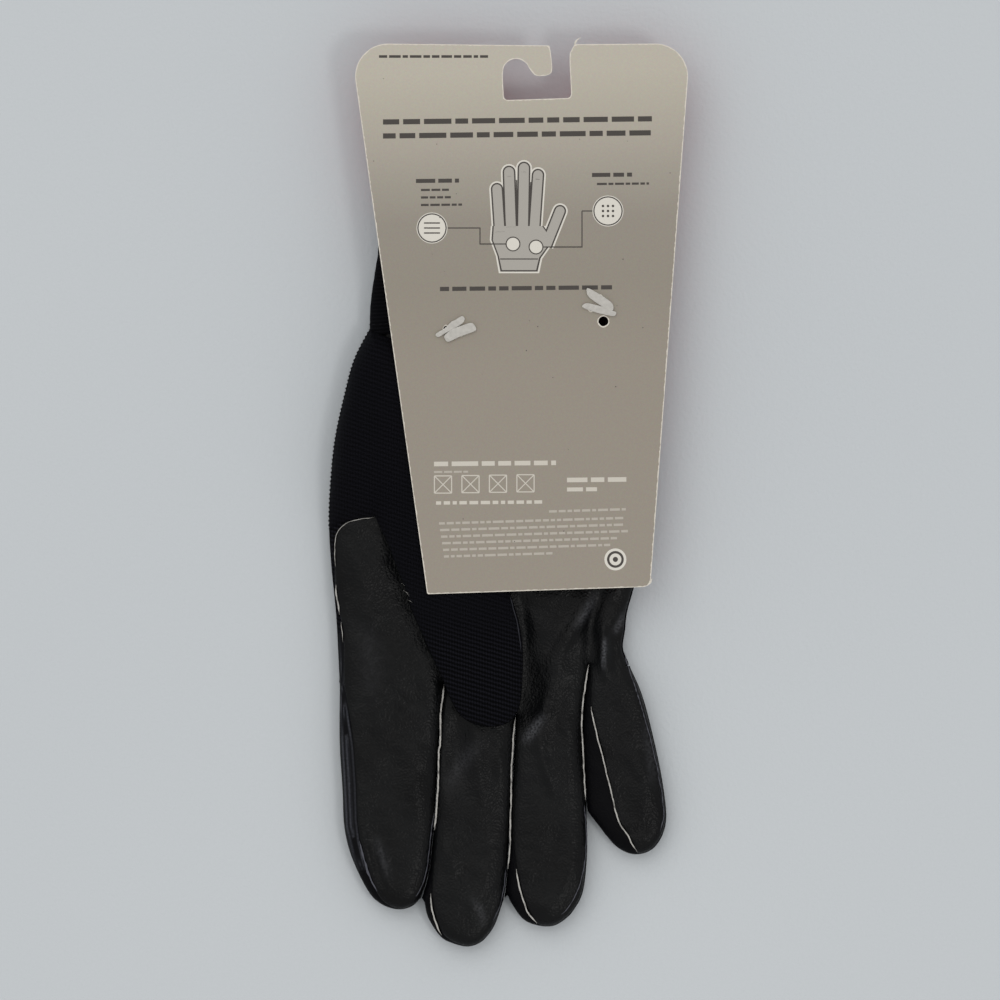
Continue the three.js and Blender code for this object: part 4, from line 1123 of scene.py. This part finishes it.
def shape(colour, points, layer=0):
    """One closed patch of ink, whose points are in the photograph's pixels."""
    layer_step[0] += 1
    flat = np.array([from_pixel(*point) for point in points])
    ink_shapes[colour].append((wound(flat), layer * INK_LAYER + (layer_step[0] % 7) * INK_STEP))


def bar(colour, start, end, height, layer=0):
    (x0, y0), (x1, y1) = start, end
    run = math.hypot(x1 - x0, y1 - y0)
    nx, ny = -(y1 - y0) / run * height / 2, (x1 - x0) / run * height / 2
    shape(colour, [(x0 + nx, y0 + ny), (x1 + nx, y1 + ny), (x1 - nx, y1 - ny), (x0 - nx, y0 - ny)], layer)


def words(colour, start, end, height, seed, slope=-0.012, average=4.6):
    """A row of plain bars, as long as words are."""
    chance = np.random.default_rng(seed)
    x, y0 = start[0], start[1]
    while x < end - height:
        length = min(height * chance.uniform(0.35, 1.0) * average, end - x)
        bar(colour, (x, y0 + (x - start[0]) * slope), (x + length, y0 + (x + length - start[0]) * slope),
            height)
        x += length + height * 0.75


DISC_SIDES = 32


def disc(colour, x, y, radius, layer=0, count=DISC_SIDES):
    shape(colour, circle(x, y, radius, count), layer)


def ring(colour, x, y, radius, width, layer):
    angles = np.linspace(0.0, 2 * math.pi, DISC_SIDES + 1)
    for a, b in zip(angles, angles[1:]):
        points = [(x + r * math.cos(t), y + r * math.sin(t)) for r, t in (
            (radius, a), (radius, b), (radius - width, b), (radius - width, a))]
        shape(colour, points, layer)


# Rows of bars: colour, start, end, height and seed, then slope and how long the bars are
bar_rows = [
    ("dark", (379, 56.5), 488, 2.6, 1, 0.0),
    ("dark", (383, 122), 656, 5.2, 2, -0.012, 6),
    ("dark", (383, 136), 656, 5.2, 3, -0.012, 6),
    ("dark", (416, 181), 459, 4.0, 4, -0.01, 5),
    ("dark", (421, 190), 452, 2.2, 5, -0.01),
    ("dark", (421, 197.5), 454, 2.2, 6, -0.01),
    ("dark", (421, 205), 462, 2.2, 7, -0.01),
    ("dark", (592, 175), 632, 4.0, 9, -0.01, 5),
    ("dark", (597, 184), 649, 2.2, 10, -0.01),
    ("dark", (440, 289), 612, 4.2, 11, -0.01, 5),
    ("pale", (434, 464), 556, 4.6, 12, -0.01, 6),
    ("faint", (434, 472), 470, 2.0, 13, -0.01),
    ("pale", (567, 480), 633, 4.6, 14, -0.01, 5),
    ("pale", (567, 489.5), 597, 4.0, 15, -0.01, 5),
    ("faint", (549, 511.5), 630, 2.4, 16, -0.03),
]
for row in bar_rows:
    words(*row)
small_print_ends = (627, 623, 629, 617, 611, 556)
for row, end in enumerate(small_print_ends):
    words("faint", (439 + row, 523.5 + row * 6.6), end, 2.4, 20 + row, -0.03)
box_columns, box_row, half = (443, 470.5, 498, 525.5), 484.5, 8.6
for place, x in enumerate(box_columns):
    y = box_row - place * 0.4
    corners = [(x - half, y - half), (x + half, y - half), (x + half, y + half), (x - half, y + half)]
    for a, b in zip(corners, corners[1:] + corners[:1]):
        bar("pale", a, b, 1.1)
    bar("pale", corners[0], corners[2], 1.0, 1)
    bar("pale", corners[1], corners[3], 1.0, 1)
words("pale", (436, 503), 545, 3.4, 30, -0.01, 3)
corner_disc, lined_disc, dotted_disc = (615.4, 559.4), (432, 228), (608, 211)
disc("white", *corner_disc, 11)
ring("dark", *corner_disc, 8.4, 2.4, 1)
disc("dark", *corner_disc, 2.6, 1, 16)

for place in (lined_disc, dotted_disc):
    disc("white", *place, 15.5)
    ring("dark", *place, 14.7, 1.2, 1)
for step in (-5, 0, 5):
    bar("dark", (lined_disc[0] - 8, lined_disc[1] + step), (lined_disc[0] + 8, lined_disc[1] + step), 1.3, 1)
for column in (-5, 0, 5):
    for row in (-5, 0, 5):
        disc("dark", dotted_disc[0] + column, dotted_disc[1] + row, 1.3, 1, 10)

# The drawing: a plain glove, back up, in a white outline
glove_bars = [((500, 235), (497, 189), 9), ((511, 232), (509, 172), 9.4), ((523, 232), (524, 168), 9.4),
              ((534, 234), (538, 175), 9.2), ((546, 246), (560, 211), 9.0)]
for (ax, ay), (bx, by), radius in glove_bars:
    for colour, grow, layer in (("white", 2.2, 0), ("dark", 0.6, 1), ("grey", -0.9, 2)):
        r = radius * 0.62 + grow
        bar(colour, (ax, ay), (bx, by), 2 * r, layer)
        disc(colour, bx, by, r, layer, 20)
for colour, grow, layer in (("white", 2.2, 0), ("dark", 0.6, 1), ("grey", -0.9, 2)):
    body = [(493 - grow, 226), (543 + grow, 226), (553 + grow, 240), (540 + grow, 258 + grow * 0.4),
            (537 + grow, 271 + grow), (501 - grow, 271 + grow), (498 - grow, 256), (492 - grow, 240)]
    shape(colour, body, layer)
bar("dark", (500, 259), (538, 259), 1.1, 3)
for (ax, ay), (bx, by) in (((505.5, 226), (503.5, 196)), ((517, 226), (516.5, 180)),
                           ((528.5, 226), (531, 182))):
    bar("dark", (ax, ay), (bx, by), 1.1, 3)
for x, y in ((513, 244), (536, 247)):
    disc("white", x, y, 7.4, 4)
    ring("dark", x, y, 7.4, 1.1, 5)
leaders = [((447.5, 228), (480, 228), 0), ((480, 227.5), (480, 244.5), 0), ((480, 244), (505.8, 244), 4),
           ((543.4, 247), (582, 247), 4), ((582, 247.5), (582, 211), 0), ((582, 211), (592.5, 211), 0)]
for start, end, layer in leaders:
    bar("dark", start, end, 1.1, layer)
# Specks of dirt and scuffs, as on any card that has hung in a shop
specks = np.random.default_rng(7)
for _ in range(26):
    x, y = specks.uniform(370, 680), specks.uniform(60, 585)
    if inside((turn_back @ (np.array([from_pixel(x, y)]) - CARD_PLACE).T).T, card_loop)[0]:
        disc("dark", x, y, specks.uniform(0.25, 0.6), 0, 7)


def tube_faces(first, sides):
    """The faces between two rings of points, of which the first begins at a number, and their ends."""
    around = [(first + (i + 1) % sides, first + i, first + sides + i, first + sides + (i + 1) % sides)
              for i in range(sides)]
    return [*around, tuple(range(first, first + sides)),
            tuple(range(first + 2 * sides - 1, first + sides - 1, -1))]


for colour, shapes in ink_shapes.items():
    points, faces = [], []
    for loop, rise in shapes:
        local = (turn_back @ (loop - CARD_PLACE).T).T
        z = card_level(local)
        faces += tube_faces(len(points), len(loop))
        points += [(x, y, h + INK + rise) for (x, y), h in zip(loop, z)]
        points += [(x, y, h - INK_SUNK) for (x, y), h in zip(loop, z)]
    # Screen ink: flat and matt, slightly mottled where the board takes it up unevenly
    made, tree, surface = new_material(f"screen_ink_{colour}", Roughness=0.6)
    mottle = node(tree, "ShaderNodeTexNoise", Vector=in_millimetres(tree), Scale=3.0, Detail=2.0)
    code = ink_colours[colour]
    softer = "#" + "".join(f"{int(int(code[i:i + 2], 16) * 0.86 + 20):02x}" for i in (1, 3, 5))
    tinted(tree, surface, mottle.outputs["Fac"], code, softer)
    print_piece = mesh_object(f"card_print_{colour}", points, faces, made, None, 40)
    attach(print_piece, "hang_card")


# Raw edges of the leather
# The skin is dyed through only in part, so where a panel is cut, its pale core shows as a thin
# broken line: between the fingers, where the seams stand up, and round the thumb's crotch.
# Undyed core: the pale, chalky inside of the skin, stained grey in places where dye crept in
raw_core, raw_tree, raw_surface = new_material("undyed_leather_core", Roughness=0.9, Specular_IOR_Level=0.1)
raw_noise = node(raw_tree, "ShaderNodeTexNoise", Vector=in_millimetres(raw_tree), Scale=0.4, Detail=3.0,
                 Roughness=0.6)
raw_share = node(raw_tree, "ShaderNodeMapRange", Value=raw_noise.outputs["Fac"], From_Min=0.3, From_Max=0.52)
tinted(raw_tree, raw_surface, raw_share.outputs["Result"], "#6a6866", "#b0aeaa")


def strip(name, line, width, low, high, material, seed, roughness=0.16):
    """A thin strip that stands along a line, between two heights, with an uneven edge."""
    line = through(line, 0.5)
    chance = np.random.default_rng(seed)
    normal = left_of(np.gradient(line, axis=0))
    uneven = np.convolve(chance.uniform(-1.6, 1.6, len(line) + 2), np.ones(3) / 3, "valid")
    wide = width * (1 + roughness * uneven)
    ends = np.minimum(np.arange(len(line)), np.arange(len(line))[::-1]) / 5
    wide *= np.clip(ends, 0.25, 1)
    sway = np.convolve(chance.uniform(-1, 1, len(line) + 4), np.ones(5) / 5, "valid") * 0.2
    left = line + normal * (sway + wide / 2)[:, None]
    right = line + normal * (sway - wide / 2)[:, None]
    base, crest = low(line), high(line)
    crest = base + (crest - base) * np.clip(ends + 0.3, 0, 1) + chance.uniform(-0.06, 0.06, len(line))
    count = len(line)
    points = np.vstack([np.column_stack([left, base]), np.column_stack([left, crest]),
                        np.column_stack([right, crest]), np.column_stack([right, base])])
    faces = []
    for i in range(count - 1):
        for k in range(4):
            a, b = k * count + i, ((k + 1) % 4) * count + i
            faces.append((a, a + 1, b + 1, b))
    faces.append(tuple(k * count for k in range(4)))
    faces.append(tuple(k * count + count - 1 for k in (3, 2, 1, 0)))
    piece = mesh_object(name, points, faces, material, None, 30)
    face_outwards(piece)
    return piece


raw_lines = [
    ("middle", "inner", [(-20.4, -60.5), (-20.7, -64.2), (-21.3, -68.3), (-21.5, -72.8), (-21.6, -79.5),
                         (-22, -82.1), (-22.2, -90.1), (-22.5, -95.8), (-22.8, -101), (-23.4, -107)],
     0.46, None),
    ("middle", "tip", [(-24.6, -127.4), (-24.4, -131.5), (-23.7, -134.5), (-22.3, -138.5), (-21.2, -140.6)],
     0.44, 0.5),
    ("middle", "outer", [(2.6, -71), (2.0, -75), (1.7, -79.8), (1.4, -84.6), (1.15, -91.7), (1.1, -97.4),
                         (0.85, -103.8), (0.75, -112.2), (0.4, -116.6), (0.1, -119.5)], 0.42, None),
    ("ring", "tip", [(2.7, -119.5), (3.4, -123.5), (4.4, -127.8), (6.1, -132.6), (8.0, -135.4),
                     (9.4, -136.9)], 0.42, 0.5),
    ("ring", "outer", [(25.9, -54.2), (25.2, -58.6), (24.7, -62), (24.1, -66), (23.7, -71.8), (23.8, -77),
                       (24.1, -81.4), (24.4, -88), (24.7, -93.5), (25.0, -97.4)], 0.4, None),
    ("little", "inner", [(26.8, -67.6), (27.3, -71.4), (29.2, -78.9), (30.9, -85.8), (32.7, -93),
                         (34.0, -98.6), (34.9, -102), (36.2, -105.6), (38.6, -108.8), (40.2, -112.2),
                         (41.6, -114.2)], 0.38, 0.55),
    ("hand", "crotch", [(-42.6, -7.0), (-47.2, -7.5), (-50, -8.2), (-52.6, -9.5), (-54.4, -11.6),
                        (-55.2, -14.4), (-55.3, -19), (-55.1, -23)], 0.17, 0.3),
    ("hand", "side", [(-55.0, -28.2), (-54.8, -31.5), (-54.3, -34.6), (-53.8, -38.2)], 0.4, 0.45),
    ("hand", "low", [(-53.3, -40.4), (-53.0, -43), (-52.6, -47)], 0.2, 0.3),
]
SEAM_TOP = 7.7
for seed, (region, place, line, width, rise) in enumerate(raw_lines):
    crest = (lambda p: np.full(len(p), SEAM_TOP)) if rise is None else (lambda p, r=rise: palm_height(p) + r)
    edge = strip(f"{region}_{place}_raw_edge", line, width,
                 lambda p: crest(p) - 1.4 if rise is None else palm_height(p) - 0.5, crest, raw_core, seed)
    if region == "hand":
        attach(edge, "hand")
    else:
        bend(edge, region)

# Dyed edge: where a seam's allowance is turned out, it is rubbed to a soft dark grey
seam_edge, _, _ = new_material("rubbed_seam_edge", Base_Color=linear("#2c2d33"), Roughness=0.6,
                               Specular_IOR_Level=0.1)
# Glazed edge: the leather that is turned in at the fingertip is drawn tight, and shines; its grey colour
# is a painted highlight
glazed_edge_highlight, _, _ = new_material("glazed_leather_edge_painted_highlight", Base_Color=linear("#4b4c54"), Roughness=0.4,
                                 Specular_IOR_Level=0.2)
# The index gusset lies in three glossy folds beside the leather, which run together at the tip,
# with a bluish grey highlight painted on their crests
fold_left = np.array([(-54.5, -44), (-54.1, -52), (-53.7, -59.8), (-53.7, -78.1), (-52.8, -93.9),
                      (-52.2, -106), (-50.2, -114.5), (-47.9, -120)])
fold_right = np.array([(-52.7, -44), (-52.4, -52), (-52.4, -59.8), (-51, -68), (-49.2, -80), (-48.3, -93),
                       (-48, -104), (-47.2, -110.5), (-46.4, -114), (-45, -120)])


def fold_crests(places):
    """1 on the top of each fold, and 0 between them."""
    x, y = places.T
    left, right = (np.interp(-y, -line[:, 1], line[:, 0]) for line in (fold_left, fold_right))
    crest = (0.5 - 0.5 * np.cos(6 * math.pi * (x - left) / (right - left))) ** 4
    return crest * np.clip((-44 - y) / 14, 0, 1) * np.clip((121 + y) / 5, 0, 1)


# The crest mark paints the bluish grey highlight on each fold's top
folds = panel("index_gusset_folds", even(np.vstack([fold_left, fold_right[::-1] + (0.25, 0)]), 0.5),
              lambda places: palm_height(places) - 0.4 + 0.5 * fold_crests(places), 0.4, fold_black,
              edge_drop=0.1, spacing=0.26, marks={"crest": lambda places: 0.9 * fold_crests(places)})
bend(folds, "index")
# The index leather's turned edge near the tip, in the grey of a painted highlight
turned_edge = strip("index_turned_edge", [(-47.4, -110.5), (-46.6, -113.8), (-45.2, -119), (-43.4, -123.8),
                                          (-41.6, -127)], 0.5,
                    lambda p: palm_height(p) - 0.5, lambda p: palm_height(p) + 0.25, glazed_edge_highlight, 43, 0.4)
bend(turned_edge, "index")

thumb_seam = strip("thumb_seam_edge", [(0.6, -31.5), (1.9, -36), (3.1, -41), (3.9, -46), (4.2, -50)], 0.26,
                   lambda p: thumb_top(p) - 0.4, lambda p: thumb_top(p) + 0.3, seam_edge, 60)
bend(thumb_seam, "thumb_tip")

# The turned edges of the stalls, which catch the light where they curl over to the gussets; the
# highlight they catch is painted in their grey colour
for seed, (finger, line, width) in enumerate([
        ("index", [(-23.6, -101.5), (-24.7, -110), (-25.7, -118.5), (-27.4, -125), (-30, -129.2)], 0.2),
        ("middle", [(-0.4, -119), (-1.2, -125.5), (-2.6, -131.5), (-5.0, -137)], 0.18),
        ("ring", [(24.5, -98.5), (25.2, -107), (24.9, -115.5), (23.2, -124.3), (19.8, -131.2), (16.5, -135)],
         0.22),
        ("little", [(37.4, -50), (38.4, -54.2), (40.4, -60), (42.3, -66), (44.3, -72.6), (46.2, -79.8),
                    (48, -88), (49.4, -96), (49.9, -103), (48.6, -107.8)], 0.22)]):
    rim = strip(f"{finger}_turned_rim", line, width, lambda p: palm_height(p) - 0.4,
                lambda p: palm_height(p) + 0.12, glazed_edge_highlight, 50 + seed, 0.5)
    bend(rim, finger)


def thumb_or_palm(places):
    """The higher of the thumb and the palm."""
    return np.maximum(thumb_top(places), palm_height(places))


# Cut ends of the seam's thread, which stand out of the thumb's edge over the crotch
for number, line in enumerate([[(-33.4, -30.2), (-32.2, -31.0), (-31.4, -32.2)],
                               [(-34.2, -28.0), (-33.2, -28.6), (-32.8, -29.4)],
                               [(-32.2, -33.4), (-31.2, -33.8), (-30.2, -34.8)]]):
    end = strip(f"thread_end_{number + 1}", line, 0.14, lambda p: thumb_or_palm(p) - 0.2,
                lambda p: thumb_or_palm(p) + 0.2, raw_core, 70 + number, 0.3)
    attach(end, "hand")


# Stitches
# Lockstitch in black polyester thread, about twelve to the inch, just inside every sewn edge.
# Each stitch is a small grain of thread, laid along its seam by one node tree.
# Bonded polyester thread: black and nearly matt, a shade paler than the leather it holds
thread, thread_tree, thread_surface = new_material("polyester_thread", Roughness=0.6, Specular_IOR_Level=0.1)
twist = node(thread_tree, "ShaderNodeTexNoise", Vector=in_millimetres(thread_tree), Scale=4.0, Detail=1.0)
tinted(thread_tree, thread_surface, twist.outputs["Fac"], "#0e0e11", "#1e1e22")
STITCH_PITCH, STITCH_LENGTH, THREAD_RADIUS = 2.1, 1.3, 0.12


def stitch_tree():
    """Lays one grain of thread every pitch along a line, and gives it its material."""
    tree, given, result = new_tree("lockstitch", ("Pitch", "Length", "Radius", "Thread"))
    curve = node(tree, "GeometryNodeMeshToCurve", Mesh=given["Mesh"])
    spots = node(tree, "GeometryNodeResampleCurve", {"mode": "LENGTH"}, Curve=curve.outputs["Curve"],
                 Length=given["Pitch"])
    along = node(tree, "GeometryNodeInputTangent").outputs["Tangent"]
    turned = node(tree, "FunctionNodeAlignRotationToVector", {"axis": "Z"}, Vector=along)
    grain = node(tree, "GeometryNodeMeshUVSphere", Segments=6, Rings=4, Radius=1.0)
    half = node(tree, "ShaderNodeMath", {"operation": "MULTIPLY"}, i0=given["Length"], i1=0.5)
    size = node(tree, "ShaderNodeCombineXYZ", X=given["Radius"], Y=given["Radius"], Z=half.outputs["Value"])
    laid = node(tree, "GeometryNodeInstanceOnPoints", Points=spots.outputs["Curve"],
                Instance=grain.outputs["Mesh"], Rotation=turned.outputs["Rotation"],
                Scale=size.outputs["Vector"])
    real = node(tree, "GeometryNodeRealizeInstances", Geometry=laid.outputs["Instances"])
    painted = node(tree, "GeometryNodeSetMaterial", Geometry=real.outputs["Geometry"],
                   Material=given["Thread"])
    tree.links.new(painted.outputs["Geometry"], result[0])
    return tree


lockstitch = stitch_tree()


def sewn(name, lines, height):
    """Stitches along lines that lie on a height."""
    points, edges = [], []
    for line in lines:
        first = len(points)
        points += (line if height is None else np.column_stack([line, height(line)])).tolist()
        edges += [(i, i + 1) for i in range(first, len(points) - 1)]
    mesh = bpy.data.meshes.new(name)
    mesh.from_pydata((np.array(points) * MM).tolist(), edges, [])
    piece = bpy.data.objects.new(name, mesh)
    scene.collection.objects.link(piece)
    finished(piece, lockstitch, {"Pitch": STITCH_PITCH * MM, "Length": STITCH_LENGTH * MM,
                                 "Radius": THREAD_RADIUS * MM, "Thread": thread})
    where = np.empty(len(piece.data.vertices) * 3, np.float32)
    piece.data.vertices.foreach_get("co", where)
    flat_map(piece.data, where.reshape(-1, 3)[:, :2])
    piece.data.shade_smooth()
    return piece


def inset(line, step):
    """A line moved to its left."""
    return line + step * left_of(np.gradient(line, axis=0))


on_leather = lambda places: palm_height(places) + 0.03
for finger, lines in leather_lines.items():
    seam = through(lines, 1.0)
    seam = seam[seam[:, 1] < START[finger] - 4]
    row = sewn(f"{finger}_stitches", [inset(seam, 1.1)], on_leather)
    bend(row, finger)
flat_on = lambda places: np.full(len(places), 0.1)
patch_seam = rounded([(-19.2, 25.5, 9.2), (-19.2, -18.4, 9.2), (39.2, -4.3, 2.4), (39.2, 25.5, 2.4)])
tab_seam = rounded([(24.4, 60.4, 0), (31.4, 60.4, 0), (31.4, 81.4, 0), (24.4, 81.4, 0)])
turns = np.linspace(0, 2 * math.pi, 300)
cuff_seams = [np.array([on_cuff(share, turn, spread) for turn in turns])
              for share, spread in ((0.035, 0.04), (0.885, 0.84))]
tab_sides = [through(np.vstack([a, b]), 1.0) for a, b in zip(tab_seam, np.roll(tab_seam, -1, 0))]
for name, lines, height, slot, body in (
        ("patch_stitches", [np.vstack([patch_seam, patch_seam[:1]])], flat_on, "patch", "hand"),
        ("tab_stitches", tab_sides, flat_on, "patch", "closure_tab"),
        ("cuff_stitches", cuff_seams, None, "elastic", "hand")):
    row = sewn(name, lines, height)
    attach(row, body)


# Tag pins
# Nylon pins, each moulded in one: a flat paddle on the card, a filament through the card and the
# cuff, and a crossbar inside. The nylon is cloudy, with brighter rims where it was trimmed.
# Natural nylon, moulded: milky and faintly translucent, with a soft waxy shine
nylon, nylon_tree, nylon_surface = new_material("natural_nylon", Roughness=0.38, Subsurface_Weight=0.25,
                                                Subsurface_Radius=(0.001, 0.001, 0.001))
cloud = node(nylon_tree, "ShaderNodeTexNoise", Vector=in_millimetres(nylon_tree), Scale=0.8, Detail=3.0)
tinted(nylon_tree, nylon_surface, cloud.outputs["Fac"], "#a9a6a1", "#c9c6c0")
PADDLE_LOW, PADDLE_TOP, PADDLE_RIM = 17.9, 18.7, 0.45
FILAMENT_TOP, FILAMENT_END, FILAMENT_RADIUS = 18.2, 5.0, 0.45
CROSSBAR_LEVEL, CROSSBAR_HALF, CROSSBAR_RADIUS = 5.4, 4, 0.6
# Each paddle's outline, along its upper side and back along its lower one, in the photograph's pixels
paddles = [
    [(436.2, 333.4), (445, 328), (451, 322), (455, 320), (461.5, 316.2), (464.5, 318), (463.2, 322.5),
     (456, 327.5), (446.5, 332.5), (438.5, 337), (436, 335.8)],
    [(444.5, 335.5), (452, 329.5), (462, 325.5), (471, 322.8), (474.3, 325), (476, 330), (470, 333),
     (459, 337), (448.5, 341.8), (445.2, 339.5)],
    [(586.6, 289), (589.5, 288.6), (600, 294.5), (609, 300.5), (612.8, 304.5), (613.2, 309.5), (610, 311),
     (600.5, 305.5), (588.5, 296.5)],
    [(582, 306.6), (586.5, 303.2), (597, 305.2), (606.5, 308), (613.5, 311), (616.3, 312.5), (614.6, 315.8),
     (609.5, 315.6), (598, 313), (588, 309.8)],
]
PIN_SIDES = 10
pin_turns = [2 * math.pi * i / PIN_SIDES for i in range(PIN_SIDES)]
bar_way = np.array([-math.sin(CARD_TURN), math.cos(CARD_TURN)])
side_way = np.array([bar_way[1], -bar_way[0]])
for number, (outline, place) in enumerate(zip(paddles, pin_places), 1):
    loop = wound(through([from_pixel(*point) for point in outline], 0.35, closed=True))
    lift = 0.0 if number in (1, 4) else 0.12
    flat, faces = triangles_of(even(loop, 0.3), (), 0.5, (0.2,))
    rim = np.clip(edge_distance(flat, [loop]), 0, PADDLE_RIM) / PADDLE_RIM
    bow = float(card_level(np.array([pin_on_card[number - 1]]))[0] - CARD_TOP)
    top = PADDLE_TOP - 0.26 + bow + lift + 0.2 * rim - 0.12 * (rim > 0.95)
    low = np.full(len(flat), PADDLE_LOW + bow + lift)
    points = [np.column_stack([flat, top]), np.column_stack([flat, low])]
    for z in (FILAMENT_TOP, FILAMENT_END):
        points.append([(place[0] + FILAMENT_RADIUS * math.cos(t), place[1] + FILAMENT_RADIUS * math.sin(t), z)
                       for t in pin_turns])
    for end in (-CROSSBAR_HALF, CROSSBAR_HALF):
        points.append([(*(np.array(place) + bar_way * end + side_way * CROSSBAR_RADIUS * math.cos(t)),
                        CROSSBAR_LEVEL + CROSSBAR_RADIUS * math.sin(t)) for t in pin_turns])
    first = 2 * len(flat)
    solid = [*two_skins(faces, len(flat)), *tube_faces(first, PIN_SIDES),
             *tube_faces(first + 2 * PIN_SIDES, PIN_SIDES)]
    pin = mesh_object(f"nylon_pin_{number}", np.vstack(points), solid, nylon, None, 35)
    face_outwards(pin)
    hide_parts(f"tag_pin_{number}")
    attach(pin, "hang_card")

# The punch hole's torn rim, where the white core is pushed up on one side
punch = on_card([PUNCH])[0]
rim_angles = np.linspace(math.radians(165), math.radians(385), 26)
rim_line = np.stack([punch[0] + 1.72 * np.cos(rim_angles), punch[1] + 1.72 * np.sin(rim_angles)], 1)
torn = strip("punch_hole_rim", rim_line, 0.42, lambda p: np.full(len(p), CARD_TOP - 0.1),
             lambda p: np.full(len(p), CARD_TOP + 0.22), core, 90)
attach(torn, "hang_card")
# The corner that was knocked, with a flake of the core turned up, and a curl at the slot's mouth
for name, line, width in (("corner_flake", [(45.0, -28.6), (45.7, -28.0), (46.2, -26.6)], 0.8),
                          ("slot_mouth_curl", [(21.2, 143.2), (21.9, 145.4), (23.4, 146.6)], 0.6)):
    flake = strip(name, line, width, lambda p: np.full(len(p), CARD_TOP - 0.3),
                  lambda p: np.full(len(p), CARD_TOP + 0.35), core, 91, 0.5)
    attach(flake, "hang_card")
